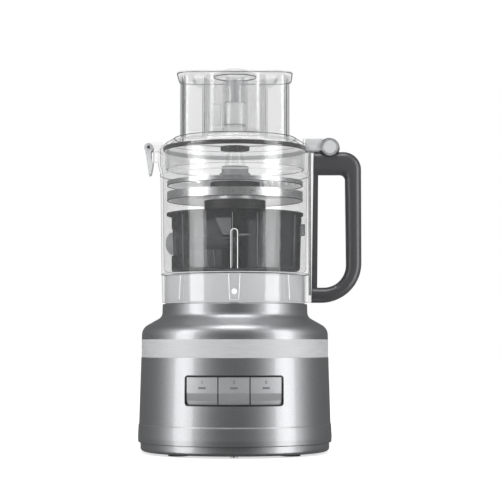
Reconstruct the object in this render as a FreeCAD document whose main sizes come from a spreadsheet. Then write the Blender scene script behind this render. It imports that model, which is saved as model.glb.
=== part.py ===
import math
import os

import FreeCAD
import Part
import Sketcher

# Food processor, millimetres. The spindle is the vertical axis of the bowl and z = 0 is the table.
# Every sub-part is drawn about the spindle and then placed "spindle_x" along X, so that the
# frame's origin is the centre of the whole footprint.

SIZES = {
    "spindle_x": -17.0,
    # base
    "foot_height": 2.0, "foot_radius": 11.0, "foot_circle": 86.0, "foot_stud": 4.0,
    "pan_radius": 101.4, "pan_rim": 3.0, "pan_floor": 3.0, "toe_radius": 105.9,
    "toe_round": 3.8, "skirt_z": 12.1, "skirt_radius": 108.8, "crease_z": 33.0,
    "crease_radius": 107.5, "crease_step": 0.7,
    "band_z": 106.4, "band_height": 20.0, "band_radius": 104.75, "band_thick": 1.35,
    "waist_radius": 105.2, "shoulder_radius": 104.6, "shoulder_z": 138.9,
    "neck_radius": 81.9, "neck_z": 151.7, "neck_top": 166.0,
    "drum_radius": 78.5, "drum_top": 198.2, "base_wall": 3.0,
    "boss_circle": 92.0, "boss_radius": 5.0, "boss_top": 44.0, "screw_radius": 2.0,
    # control panel
    "panel_width": 106.0, "panel_low": 55.0, "panel_high": 88.0, "panel_corner": 3.6,
    "tray_radius": 98.2, "tray_wall": 1.6, "tray_lip": 105.6,
    "paddle_width": 33.0, "paddle_pitch": 34.1, "paddle_low": 56.7, "paddle_high": 86.1,
    "paddle_back": 102.6, "paddle_top_radius": 105.2, "ridge_radius": 107.6,
    "ridge_z": 69.0, "paddle_low_radius": 104.2, "bevel_z": 61.0,
    "lamp_width": 7.8, "lamp_height": 2.2, "lamp_z": 74.5, "post_z": 62.5, "post_radius": 2.0,
    "post_reach": 96.0, "side_post_reach": 90.0, "post_clear": 3.4,
    "board_y": -80.0, "board_low": 40.0, "board_high": 84.0, "switch_depth": 13.5,
    # drive
    "motor_y": 56.0, "motor_shaft": 5.0, "rotor_radius": 19.5, "stator_radius": 38.0,
    "stator_bore": 20.3, "stator_low": 68.0, "stator_high": 104.0, "bracket_thick": 4.0,
    "hood_high": 116.0, "coil_height": 9.0, "fan_z": 124.0,
    "chassis_low": 48.0, "chassis_thick": 3.0, "chassis_radius": 92.0,
    "pulley_low": 22.0, "pulley_height": 14.0, "motor_pulley_radius": 8.0,
    "driven_radius": 38.0, "belt_thick": 3.0, "belt_gap": 0.3, "belt_height": 10.0,
    "spindle_radius": 6.0, "spindle_low": 17.0, "spindle_top": 256.0, "bearing_radius": 11.5,
    "bearing_height": 8.0, "running": 0.05, "bearing_gap": 0.05, "gland_z": 66.0,
    # bowl
    "bowl_skirt_z": 168.0, "bowl_skirt_radius": 81.8, "bowl_floor_z": 198.5,
    "bowl_floor": 3.0, "bowl_low_radius": 82.8, "bowl_mid_radius": 84.0, "bowl_mid_z": 284.0,
    "bowl_high_radius": 84.3, "bowl_high_z": 308.0, "flare_z": 314.0, "rim_low": 323.0,
    "rim_radius": 87.3, "rim_top": 340.0, "bowl_wall": 2.6, "tube_radius": 12.4,
    "tube_wall": 2.6, "tube_top": 262.0,
    "channel_low_x": 86.7, "channel_high_x": 89.5, "channel_top": 338.0, "channel_width": 22.0,
    "channel_root_low": 80.6, "channel_root_high": 84.0,
    "rib_width": 7.6, "rib_top": 246.0,
    # handle
    "grip_outer": 142.6, "grip_width": 27.0, "grip_low": 167.7,
    "hole_left_high": 94.2, "hole_left_low": 92.4, "hole_right_high": 124.8,
    "hole_right_low": 126.0, "hole_low": 184.6, "hole_high": 312.8,
    "grip_top_round": 20.0, "grip_low_round": 45.0, "hole_round": 6.0, "hole_low_round": 26.0,
    "grip_edge": 7.8, "strap_inset": 3.5, "strap_rise": 4.0,
    # lid hinge
    "hinge_x": 107.0, "hinge_z": 343.0, "barrel_radius": 10.0, "saddle_radius": 11.5,
    "saddle_clear": 10.5, "lug_half": 4.0, "fork_half": 4.5, "fork_clear": 12.2,
    "pin_radius": 3.0, "pin_cap_radius": 10.0, "pin_cap_thick": 1.2, "pin_dome_radius": 8.2,
    "pin_dome_thick": 2.4, "cap_gap": 0.1,
    "arm_width": 24.0, "arm_top": 352.8, "arm_low": 338.4, "arm_start": 76.0,
    # lid
    "lid_edge_radius": 84.9, "lid_edge_z": 340.4, "lid_edge_top": 342.6,
    "lid_shoulder_radius": 78.0, "lid_shoulder_z": 348.2, "lid_top_radius": 68.5,
    "lid_top_z": 354.0, "lid_wall": 2.4, "lid_skirt_radius": 78.6, "lid_skirt_low": 318.0,
    "lid_skirt_wall": 2.2, "gasket_radius": 81.3, "gasket_low": 338.6, "gasket_high": 343.4,
    # feed tube and pushers
    "feed_half": 61.0, "feed_front": 45.0, "feed_back": 35.0, "feed_top": 420.0,
    "feed_corner": 13.0, "feed_wall": 2.0,
    "pusher_gap": 0.5, "pusher_wall": 2.0, "pusher_low": 357.0, "flange_out": 3.2,
    "flange_z": 421.2, "flange_thick": 3.6,
    "medium_half": 34.6, "medium_front": 33.0, "medium_back": 23.0, "medium_corner": 18.0,
    "medium_wall": 1.8, "medium_low": 360.0, "medium_top": 423.4,
    "well_radius": 13.0, "well_wall": 1.4, "scoop_radius": 12.0,
    "small_radius": 11.0, "small_wall": 1.8, "small_low": 394.0,
    "cap_radius": 25.0, "cap_low": 423.9, "cap_thick": 2.2, "dome_radius": 15.0,
    "dome_top": 432.0, "sleeve_radius": 12.4, "sleeve_low": 368.0,
    # latch
    "latch_x": -97.6, "latch_z": 343.0, "latch_eye": 5.0, "latch_low": 311.5,
    "latch_outer": -103.5, "latch_width": 20.0, "ear_thick": 3.6,
    "ear_gap": 0.4, "latch_pin_radius": 1.6, "ear_root": -82.0, "ear_radius": 4.2,
    "catch_nose": -92.6, "catch_low": 321.0, "catch_high": 326.5,
    "keeper_tip": -92.2, "keeper_low": 327.0, "keeper_high": 339.0, "keeper_width": 20.0,
    # storage inside the bowl
    "caddy_low": 203.0, "caddy_top": 266.0, "caddy_low_radius": 73.4,
    "caddy_high_radius": 75.4, "caddy_wall": 2.0, "caddy_lid_radius": 77.4,
    "caddy_cut_x": -70.5, "notch_x": -56.0, "notch_low": 219.5, "notch_high": 250.0,
    "caddy_lid_thick": 2.4, "plate_thick": 1.6, "right_plate_x": 24.0, "left_plate_x": -23.1,
    "left_plate_height": 19.0, "tab_radius": 79.2, "tab_low": 244.0, "tab_height": 12.0,
    "store_radius": 15.2, "store_bore": 12.7, "store_top": 314.0, "store_gap": 0.2,
    "collar_radius": 17.5, "cap_radius_of_post": 15.3, "collar_low": 309.0, "collar_top": 322.0,
    "stem_low_radius": 12.0, "stem_high_radius": 8.0,
    "knob_radius": 16.5, "knob_low": 340.6, "knob_top": 344.8, "flute_radius": 1.6,
    "disc_radius": 76.8, "rim_wall": 2.2, "slicer_low": 283.0, "slicer_top": 292.4,
    "slicer_plate": 1.6, "slicer_hub_radius": 24.0, "slicer_hub_rise": 4.0,
    "slot_low_x": 20.0, "slot_high_x": 72.0, "slot_low_y": -10.0, "slot_high_y": 3.0,
    "edge_length": 46.5, "edge_width": 11.6, "edge_thick": 1.0,
    "carrier_radius": 34.6, "carrier_low": 270.0,
    "shred_low": 300.0, "shred_top": 305.0, "disc_thick": 1.4,
    "shred_hub_radius": 28.0, "shred_hub_low": 296.6, "window_radius": 13.0,
    "tooth_radius": 2.2, "tooth_first": 30.0, "tooth_row": 8.0, "tooth_pitch": 9.0,
    "tooth_reach": 68.0,
    "knife_x": -75.4, "knife_y": -7.5, "knife_z": 234.0, "knife_knob": 12.5,
    "knife_hub": 8.6, "knife_knob_length": 17.0, "knife_length": 79.0, "blade_y": -27.5,
    "rod_radius": 1.4, "rod_x": 84.6, "rod_low": 176.0, "rod_top": 339.8, "rod_gap": 0.4,
}


class Cell:
    """A size: its value in millimetres and the spreadsheet expression that gives it."""

    def __init__(self, value, text):
        self.value = value
        self.text = text

    def __add__(self, other):
        other = cell(other)
        return Cell(self.value + other.value, f"({self.text} + {other.text})")

    def __sub__(self, other):
        other = cell(other)
        return Cell(self.value - other.value, f"({self.text} - {other.text})")

    def __mul__(self, factor):
        return Cell(self.value * factor, f"({self.text} * {factor})")

    def __neg__(self):
        return Cell(-self.value, f"(0 - {self.text})")


def cell(size):
    """A plain number as a Cell."""
    return size if isinstance(size, Cell) else Cell(float(size), f"{float(size):.6f}")


class Sizes:
    """Gives each spreadsheet size by its name."""

    def __getattr__(self, name):
        return Cell(SIZES[name], f"Dims.{name}")


d = Sizes()
doc = FreeCAD.newDocument("FoodProcessor")
sheet = doc.addObject("Spreadsheet::Sheet", "Dims")
for row, (alias, number) in enumerate(SIZES.items(), start=1):
    sheet.set(f"A{row}", alias)
    sheet.set(f"B{row}", str(number))
    sheet.setAlias(f"B{row}", alias)
doc.recompute()

nodes = []


def bind(thing, **sizes):
    """Binds properties to cells; a double underscore in a name stands for a dot."""
    for name, size in sizes.items():
        thing.setExpression(name.replace("__", "."), cell(size).text)
    return thing


def at(thing, x=0, y=0, z=0, turn=None):
    """Places an object; turn is an axis and an angle in degrees."""
    if turn:
        thing.Placement.Rotation = FreeCAD.Rotation(FreeCAD.Vector(*turn[0]), turn[1])
    return bind(thing, Placement__Base__x=x, Placement__Base__y=y, Placement__Base__z=z)


def node(thing, label, x=0, y=0, z=0, turn=None):
    """Names a finished sub-part and sets it about the spindle."""
    at(thing, d.spindle_x + x, y, z, turn)
    thing.Label = label
    nodes.append(thing)
    return thing


# directions in which a primitive's own Z axis can be turned
ALONG_Y = ((1, 0, 0), -90)
AGAINST_Y = ((1, 0, 0), 90)
ALONG_X = ((0, 1, 0), 90)


def cylinder(radius, height, x=0, y=0, z=0, turn=None):
    thing = doc.addObject("Part::Cylinder", "Cylinder")
    bind(thing, Radius=radius, Height=height)
    return at(thing, x, y, z, turn)


def cone(low_radius, high_radius, height, x=0, y=0, z=0, turn=None):
    thing = doc.addObject("Part::Cone", "Cone")
    bind(thing, Radius1=low_radius, Radius2=high_radius, Height=height)
    return at(thing, x, y, z, turn)


def box(x_low, x_high, y_low, y_high, z_low, z_high):
    """A box between two values along each axis."""
    thing = doc.addObject("Part::Box", "Box")
    bind(thing, Length=cell(x_high) - x_low, Width=cell(y_high) - y_low, Height=cell(z_high) - z_low)
    return at(thing, x_low, y_low, z_low)


def fuse(*things):
    thing = doc.addObject("Part::MultiFuse", "Fuse")
    thing.Shapes = list(things)
    return thing


def cut(base, *tools):
    thing = doc.addObject("Part::Cut", "Cut")
    thing.Base = base
    thing.Tool = tools[0] if len(tools) == 1 else fuse(*tools)
    return thing


def common(first, second):
    thing = doc.addObject("Part::MultiCommon", "Common")
    thing.Shapes = [first, second]
    return thing


def group(things):
    """Separate solids kept in one sub-part."""
    thing = doc.addObject("Part::Compound", "Group")
    thing.Links = list(things)
    return thing


def ring(radius, bore, height, x=0, y=0, z=0):
    """A tube along Z."""
    return cut(cylinder(radius, height, x, y, z), cylinder(bore, height + 2, x, y, cell(z) - 1))


def sketch_on(body, role, corners):
    """A closed outline of straight lines whose corners are bound to cells."""
    sketch = body.newObject("Sketcher::SketchObject", "Outline")
    plane = [f for f in body.Origin.OriginFeatures if f.Role == role][0]
    sketch.AttachmentSupport = [(plane, "")]
    sketch.MapMode = "FlatFace"
    corners = [(cell(u), cell(v)) for u, v in corners]
    points = [FreeCAD.Vector(u.value, v.value, 0) for u, v in corners]
    last = len(points)
    lines = [Part.LineSegment(points[i], points[(i + 1) % last]) for i in range(last)]
    sketch.addGeometry(lines, False)
    rules = [Sketcher.Constraint("Coincident", i, 2, (i + 1) % last, 1) for i in range(last)]
    for i, (u, v) in enumerate(corners):
        rules.append(Sketcher.Constraint("DistanceX", -1, 1, i, 1, u.value))
        rules.append(Sketcher.Constraint("DistanceY", -1, 1, i, 1, v.value))
    sketch.addConstraint(rules)
    for i, (u, v) in enumerate(corners):
        sketch.setExpression(f"Constraints[{last + 2 * i}]", u.text)
        sketch.setExpression(f"Constraints[{last + 2 * i + 1}]", v.text)
    return sketch


def turned(corners, rounds=()):
    """A body of revolution about Z from (radius, height) corners; rounds are (corner, radius)."""
    body = doc.addObject("PartDesign::Body", "Turned")
    sketch = sketch_on(body, "XZ_Plane", corners)
    turn = body.newObject("PartDesign::Revolution", "Turn")
    turn.Profile = sketch
    turn.ReferenceAxis = (sketch, ["V_Axis"])
    turn.Angle = 360
    corners = [(cell(u), cell(v)) for u, v in corners]
    for i, radius in rounds:
        spot = (0, corners[i][0].value, corners[i][1].value)
        round_edges(body, [spot], radius)
    return body


def padded(role, corners, start, length, rounds=()):
    """A prism with its outline on an origin plane; rounds are ([corner, ...], radius)."""
    body = doc.addObject("PartDesign::Body", "Padded")
    sketch = sketch_on(body, role, corners)
    bind(sketch, AttachmentOffset__Base__z=start)
    pad = body.newObject("PartDesign::Pad", "Pad")
    pad.Profile = sketch
    bind(pad, Length=length)
    corners = [(cell(u).value, cell(v).value) for u, v in corners]
    middle = cell(start).value + cell(length).value / 2
    for picked, radius in rounds:
        spots = []
        for i in picked:
            u, v = corners[i]
            spots.append({"XY_Plane": (u, v, middle), "XZ_Plane": (u, -middle, v),
                          "YZ_Plane": (middle, u, v)}[role])
        round_edges(body, spots, radius)
    return body


def round_edges(body, spots, radius):
    """A fillet on the edges that pass through the given points."""
    doc.recompute()
    base = body.Tip
    names = []
    for spot in spots:
        point = Part.Vertex(*spot)
        for i, edge in enumerate(base.Shape.Edges, start=1):
            if edge.distToShape(point)[0] < 1e-4:
                names.append(f"Edge{i}")
    if len(names) < len(spots):
        raise ValueError(f"no edge at {spots} of {body.Name}")
    fillet = body.newObject("PartDesign::Fillet", "Round")
    fillet.Base = (base, sorted(set(names)))
    bind(fillet, Radius=radius)
    return fillet


def slab(x_half, y_low, y_high, z_low, height, corner):
    """An upright prism with a rounded rectangle as its plan."""
    outline = [(-x_half, y_low), (x_half, y_low), (x_half, y_high), (-x_half, y_high)]
    return padded("XY_Plane", outline, z_low, height, [([0, 1, 2, 3], corner)])


def polar(radius, angle):
    """The point at an angle in degrees on a circle about the spindle."""
    turn = math.radians(angle)
    return radius * round(math.cos(turn), 6), radius * round(math.sin(turn), 6)


# base

CORNERS_OF_BASE = (45, 135, 225, 315)


def make_pan():
    pan = turned([(0, d.foot_height), (d.pan_radius, d.foot_height), (d.pan_radius, d.skirt_z),
                  (d.pan_radius - d.pan_rim, d.skirt_z),
                  (d.pan_radius - d.pan_rim, d.foot_height + d.pan_floor),
                  (0, d.foot_height + d.pan_floor)])
    posts, holes = [], []
    for angle in CORNERS_OF_BASE:
        x, y = polar(d.foot_circle, angle)
        posts.append(cylinder(d.boss_radius, d.chassis_low - d.foot_height, x, y, d.foot_height))
        holes.append(cylinder(d.foot_stud, d.foot_height * 4, x, y, 0))
    for angle in (0, 90, 180, 270):
        x, y = polar(d.boss_circle, angle)
        holes.append(cylinder(d.screw_radius, d.skirt_z, x, y, 0))
    for angle in range(0, 360, 30):
        x, y = polar(d.driven_radius * 1.4, angle)
        holes.append(cylinder(d.foot_stud, d.skirt_z, x, y, 0))
    node(cut(fuse(pan, *posts), *holes), "bottom_cover")
    for i, angle in enumerate(CORNERS_OF_BASE, start=1):
        x, y = polar(d.foot_circle, angle)
        pad = cylinder(d.foot_radius, d.foot_height, x, y, 0)
        stud = cylinder(d.foot_stud, d.foot_height * 4, x, y, 0)
        node(fuse(pad, stud), f"foot_{i}")


def window(low, high, half, depth_low, depth_high, corner):
    """A prism along Y with a rounded rectangle as its front view."""
    outline = [(-half, low), (half, low), (half, high), (-half, high)]
    return padded("XZ_Plane", outline, depth_low, depth_high - depth_low,
                  [([0, 1, 2, 3], corner)])


def make_housing():
    inner = d.skirt_radius - d.base_wall
    shell = turned([
        (d.pan_radius, d.foot_height), (d.toe_radius, d.foot_height), (d.toe_radius, d.skirt_z),
        (d.skirt_radius - 0.4, d.skirt_z), (d.skirt_radius, d.skirt_z + 6),
        (d.crease_radius + d.crease_step, d.crease_z - 1.6),
        (d.crease_radius, d.crease_z), (d.waist_radius, d.band_z),
        (d.band_radius - d.band_thick, d.band_z),
        (d.band_radius - d.band_thick, d.band_z + d.band_height),
        (d.band_radius, d.band_z + d.band_height), (d.shoulder_radius, d.shoulder_z),
        (d.neck_radius, d.neck_z), (d.neck_radius - 0.4, d.neck_top),
        (d.drum_radius, d.neck_top), (d.drum_radius, d.drum_top), (d.bearing_radius, d.drum_top),
        (d.bearing_radius, d.drum_top - d.base_wall),
        (d.drum_radius - d.base_wall, d.drum_top - d.base_wall),
        (d.drum_radius - d.base_wall, d.neck_z - 1), (d.shoulder_radius - 4, d.shoulder_z - 1.5),
        (d.waist_radius - d.base_wall - 1, d.band_z), (inner - 1.4, d.crease_z),
        (inner - 0.6, d.skirt_z + 3), (d.pan_radius, d.skirt_z + 3)],
        [(1, d.toe_round), (3, 0.8), (11, 13), (12, 8), (13, 1.2), (15, 2), (19, 4), (20, 10)])
    bosses = []
    for angle in (0, 90, 180, 270):
        x, y = polar(d.boss_circle, angle)
        floor = d.foot_height + d.pan_floor
        bosses.append(cylinder(d.boss_radius, d.boss_top - floor, x, y, floor))
    inner_reach = d.skirt_radius - d.base_wall
    for turn in (0, 1):
        span = [(-inner_reach, -d.boss_circle), (d.boss_circle, inner_reach)]
        for low, high in span:
            if turn:
                bosses.append(box(-1.5, 1.5, low, high, d.skirt_z + 4, d.boss_top))
            else:
                bosses.append(box(low, high, -1.5, 1.5, d.skirt_z + 4, d.boss_top))
    holes = [window(d.panel_low, d.panel_high, d.panel_width * 0.5, 60, 120, d.panel_corner),
             cylinder(7, 20, 0, 95, d.gland_z, ALONG_Y)]
    for angle in (0, 90, 180, 270):
        x, y = polar(d.boss_circle, angle)
        holes.append(cylinder(d.screw_radius, d.boss_top - 8, x, y, 0))
    node(cut(fuse(shell, *bosses), *holes), "base_housing")
    node(ring(d.band_radius, d.band_radius - d.band_thick, d.band_height, z=d.band_z), "trim_band")
    screws = []
    for angle in (0, 90, 180, 270):
        x, y = polar(d.boss_circle, angle)
        head = cylinder(d.screw_radius * 2, 1.6, x, y, 0.4)
        screws.append(fuse(head, cylinder(d.screw_radius, d.boss_top - 9, x, y, 0.4)))
    node(group(screws), "housing_screws")
    gland = fuse(cylinder(7, 10, 0, 96, d.gland_z, ALONG_Y),
                 cylinder(10, 3, 0, 96, d.gland_z, ALONG_Y))
    node(cut(gland, cylinder(3.6, 20, 0, 92, d.gland_z, ALONG_Y)), "cord_gland")


def make_panel():
    half = d.panel_width * 0.5
    outline = window(d.panel_low, d.panel_high, half, 60, 120, d.panel_corner)
    shell = ring(d.tray_lip, d.tray_radius, d.panel_high - d.panel_low + 10, z=d.panel_low - 5)
    hollow = ring(d.tray_lip + 5, d.tray_radius + d.tray_wall, 60, z=d.panel_low - 10)
    pocket = common(hollow, window(d.panel_low + 1.2, d.panel_high - 1.2, half - 1.2, 50, 125,
                                   d.panel_corner - 1))
    holes = [cylinder(d.post_clear, 60, d.paddle_pitch * i, -60, d.post_z, AGAINST_Y)
             for i in (-1, 0, 1)]
    stands = [cylinder(2.5, 17.6, x, -97.6, d.post_z, ALONG_Y) for x in (-17.05, 17.05)]
    node(fuse(cut(common(shell, outline), pocket, *holes), *stands), "button_bezel")
    board = box(0, 80, 0, 1.6, 0, d.board_high - d.board_low)
    node(board, "switch_board", -40, d.board_y, d.board_low)
    switches = []
    for i in (-1, 0, 1):
        x = d.paddle_pitch * i
        depth = d.switch_depth * (1 if i == 0 else 0.35)
        switches.append(box(x - 5, x + 5, d.board_y - depth, d.board_y, d.post_z - 6,
                            d.post_z + 6))
    node(group(switches), "button_switches")


def make_buttons():
    for i, name in zip((-1, 0, 1), ("left", "middle", "right")):
        paddle = turned([
            (d.paddle_back, d.paddle_low), (d.paddle_low_radius - 0.8, d.paddle_low),
            (d.paddle_low_radius, d.bevel_z), (d.ridge_radius, d.ridge_z),
            (d.paddle_top_radius, d.paddle_high), (d.paddle_back, d.paddle_high)],
            [(3, 2.2), (4, 0.6)])
        x = d.paddle_pitch * i
        half = d.paddle_width * 0.5
        span = box(x - half, x + half, -120, -60, d.paddle_low - 1, d.paddle_high + 1)
        reach = d.post_reach if i == 0 else d.side_post_reach
        post = cylinder(d.post_radius, 25, x, -reach, d.post_z, AGAINST_Y)
        inside = cylinder(d.paddle_back + 0.8, 20, z=d.post_z - 10)
        bar = fuse(common(paddle, span), common(post, inside))
        lamp = box(x - d.lamp_width * 0.5, x + d.lamp_width * 0.5, -120, -60,
                   d.lamp_z - d.lamp_height * 0.5, d.lamp_z + d.lamp_height * 0.5)
        seat = common(lamp, ring(d.ridge_radius + 1, d.paddle_back + 1.2, 12, z=d.lamp_z - 6))
        node(cut(bar, seat), f"button_{name}")
        node(common(bar, seat), f"lamp_{name}")


# drive


def loop(radius_big, radius_small, low, height):
    """A solid round two circles that a belt would span, the small one at the motor."""
    span = d.motor_y.value
    lean = math.asin((radius_big - radius_small) / span)
    spots = []
    for side in (1, -1):
        for radius, middle in ((radius_big, 0), (radius_small, span)):
            x = side * radius * math.cos(lean)
            spots.append(FreeCAD.Vector(x, middle + radius * math.sin(lean), low))
    far_top, near_top = FreeCAD.Vector(0, span + radius_small, low), FreeCAD.Vector(
        0, -radius_big, low)
    edges = [Part.Arc(spots[2], near_top, spots[0]).toShape(),
             Part.LineSegment(spots[0], spots[1]).toShape(),
             Part.Arc(spots[1], far_top, spots[3]).toShape(),
             Part.LineSegment(spots[3], spots[2]).toShape()]
    return Part.Face(Part.Wire(edges)).extrude(FreeCAD.Vector(0, 0, height))


def vane(y, z, angle):
    """One radial blade of the fan above the motor."""
    blade = doc.addObject("Part::Box", "Vane")
    bind(blade, Length=21.5, Width=1.6, Height=8)
    turn = math.radians(angle)
    x_start = 8 * math.cos(turn) + 0.8 * math.sin(turn)
    y_start = 8 * math.sin(turn) - 0.8 * math.cos(turn)
    return at(blade, x_start, y + y_start, z, ((0, 0, 1), angle))


def make_drive():
    chassis = cylinder(d.chassis_radius, d.chassis_thick, z=d.chassis_low)
    clear = [cylinder(d.bearing_radius, 20, z=d.chassis_low - 5),
             cylinder(d.motor_shaft + 3, 20, 0, d.motor_y, d.chassis_low - 5),
             box(-60, 60, -d.chassis_radius, -60, 40, 60)]
    for angle in (0, 90, 180, 270):
        x, y = polar(d.boss_circle, angle)
        clear.append(cylinder(d.boss_radius + 2, 20, x, y, d.chassis_low - 5))
    node(cut(chassis, *clear), "chassis_plate")

    x, y = 0, d.motor_y
    can = d.stator_radius
    core = ring(can, d.stator_bore, d.stator_high - d.stator_low, x, y, d.stator_low)
    node(core, "motor_stator")
    deck = d.chassis_low + d.chassis_thick
    shaft_bore = d.motor_shaft + d.running
    foot = ring(can, can - 3, d.stator_low - deck, x, y, deck)
    floor = ring(can - 3, shaft_bore, d.bracket_thick, x, y, deck)
    node(fuse(foot, floor), "motor_mount")
    hood = ring(can, can - 3, d.hood_high - d.stator_high, x, y, d.stator_high)
    roof = ring(can, shaft_bore, d.bracket_thick, x, y, d.hood_high)
    node(fuse(hood, roof), "motor_bracket")
    coils = [ring(can - 6, d.stator_bore + 2, d.coil_height, x, y, d.stator_low - d.coil_height),
             ring(can - 6, d.stator_bore + 2, d.coil_height, x, y, d.stator_high)]
    node(group(coils), "motor_windings")
    top = d.hood_high + d.bracket_thick
    bolts = []
    for angle in CORNERS_OF_BASE:
        bx, by = polar(30, angle)
        bolts.append(cylinder(3.4, 2.4, bx, y + by, top))
    node(group(bolts), "motor_screws")
    rotor = fuse(cylinder(d.rotor_radius, d.stator_high - d.stator_low - 4, x, y,
                          d.stator_low + 2),
                 cylinder(d.motor_shaft, d.fan_z + 9 - d.spindle_low, x, y, d.spindle_low))
    node(rotor, "motor_rotor")
    hub = fuse(cylinder(30, 1.5, x, y, d.fan_z), cylinder(9, 8, x, y, d.fan_z))
    vanes = [vane(y, d.fan_z, angle) for angle in range(0, 360, 30)]
    node(cut(fuse(hub, *vanes), cylinder(d.motor_shaft, 30, x, y, d.fan_z - 5)), "motor_fan")
    pulley = ring(d.motor_pulley_radius, d.motor_shaft, d.pulley_height, x, y, d.pulley_low)
    node(pulley, "motor_pulley")
    node(ring(d.driven_radius, d.spindle_radius, d.pulley_height, z=d.pulley_low),
         "driven_pulley")
    low = d.pulley_low.value + (d.pulley_height.value - d.belt_height.value) / 2
    inner_big = d.driven_radius.value + d.belt_gap.value
    inner_small = d.motor_pulley_radius.value + d.belt_gap.value
    thick = d.belt_thick.value
    outer = loop(inner_big + thick, inner_small + thick, low, d.belt_height.value)
    inner = loop(inner_big, inner_small, low - 1, d.belt_height.value + 2)
    belt = doc.addObject("Part::Feature", "Belt")
    belt.Shape = outer.cut(inner)
    node(belt, "drive_belt")

    shaft = cylinder(d.spindle_radius, d.spindle_top - d.spindle_low, z=d.spindle_low)
    flat = d.spindle_radius - 1.2
    flats = [box(flat, flat + 5, -8, 8, d.drum_top + 6, d.spindle_top + 1),
             box(-flat - 5, -flat, -8, 8, d.drum_top + 6, d.spindle_top + 1)]
    node(cut(shaft, *flats), "drive_spindle")
    bore = d.spindle_radius + d.bearing_gap
    node(ring(d.bearing_radius, bore, d.bearing_height, z=d.drum_top - d.bearing_height),
         "bearing_upper")
    node(ring(d.bearing_radius, bore, d.bearing_height, z=d.chassis_low), "bearing_lower")


# bowl


def make_bowl():
    wall = d.bowl_wall
    floor = d.bowl_floor_z + d.bowl_floor
    tube = d.tube_radius
    shell = turned([
        (d.bowl_skirt_radius, d.bowl_skirt_z), (d.bowl_low_radius, d.bowl_floor_z + 1.5),
        (d.bowl_mid_radius, d.bowl_mid_z), (d.bowl_high_radius, d.bowl_high_z),
        (d.bowl_high_radius + 0.3, d.flare_z), (d.rim_radius, d.rim_low),
        (d.rim_radius, d.rim_top), (d.rim_radius - wall, d.rim_top),
        (d.rim_radius - wall, d.rim_low + 0.5), (d.bowl_high_radius + 0.3 - wall, d.flare_z + 0.5),
        (d.bowl_high_radius - wall, d.bowl_high_z), (d.bowl_mid_radius - wall, d.bowl_mid_z),
        (d.bowl_low_radius - wall, floor), (tube, floor), (tube, d.tube_top),
        (tube - d.tube_wall, d.tube_top), (tube - d.tube_wall, d.bowl_floor_z),
        (d.bowl_low_radius - wall - 0.6, d.bowl_floor_z), (d.bowl_skirt_radius - wall,
                                                          d.bowl_skirt_z)],
        [(5, 2), (6, 1), (12, 5)])
    channel = padded("XZ_Plane", [
        (d.channel_root_low, d.bowl_skirt_z), (d.channel_low_x, d.bowl_skirt_z),
        (d.channel_high_x, d.channel_top), (d.channel_root_high, d.channel_top),
        (d.channel_root_high - 1, d.flare_z)],
        -d.channel_width * 0.5, d.channel_width)
    slot = cylinder(d.rod_radius + d.rod_gap, 200, d.rod_x, 0, d.bowl_skirt_z - 5)
    keeper = box(d.keeper_tip, -d.rim_radius + 1, -d.keeper_width * 0.5, d.keeper_width * 0.5,
                 d.keeper_low, d.keeper_high)
    key = padded("XZ_Plane", [(-6.2, 170), (6.2, 170), (5, 197), (-5, 197)], 80.6, 4.0,
                 [([2, 3], 2)])
    key_hole = cylinder(1.6, 20, 0, -90, 178, ALONG_Y)
    half = d.rib_width * 0.5
    rib = padded("XZ_Plane", [(-half, 200), (half, 200), (half, d.rib_top), (-half, d.rib_top)],
                 81.6, 3.2, [([2, 3], 3.6)])
    beads = []
    for angle in (-136, -44):
        bead = doc.addObject("Part::Box", "Bead")
        bind(bead, Length=1.6, Width=1.4, Height=29)
        x, y = polar(81.2, angle)
        beads.append(at(bead, x, y, d.bowl_skirt_z, ((0, 0, 1), angle)))
    node(cut(fuse(shell, channel, keeper, key, rib, *beads), slot, key_hole), "bowl")
    screw = fuse(cylinder(3.0, 1.4, 0, -86, 178, ALONG_Y), cylinder(1.6, 5, 0, -86, 178, ALONG_Y))
    node(screw, "skirt_screw")


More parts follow.
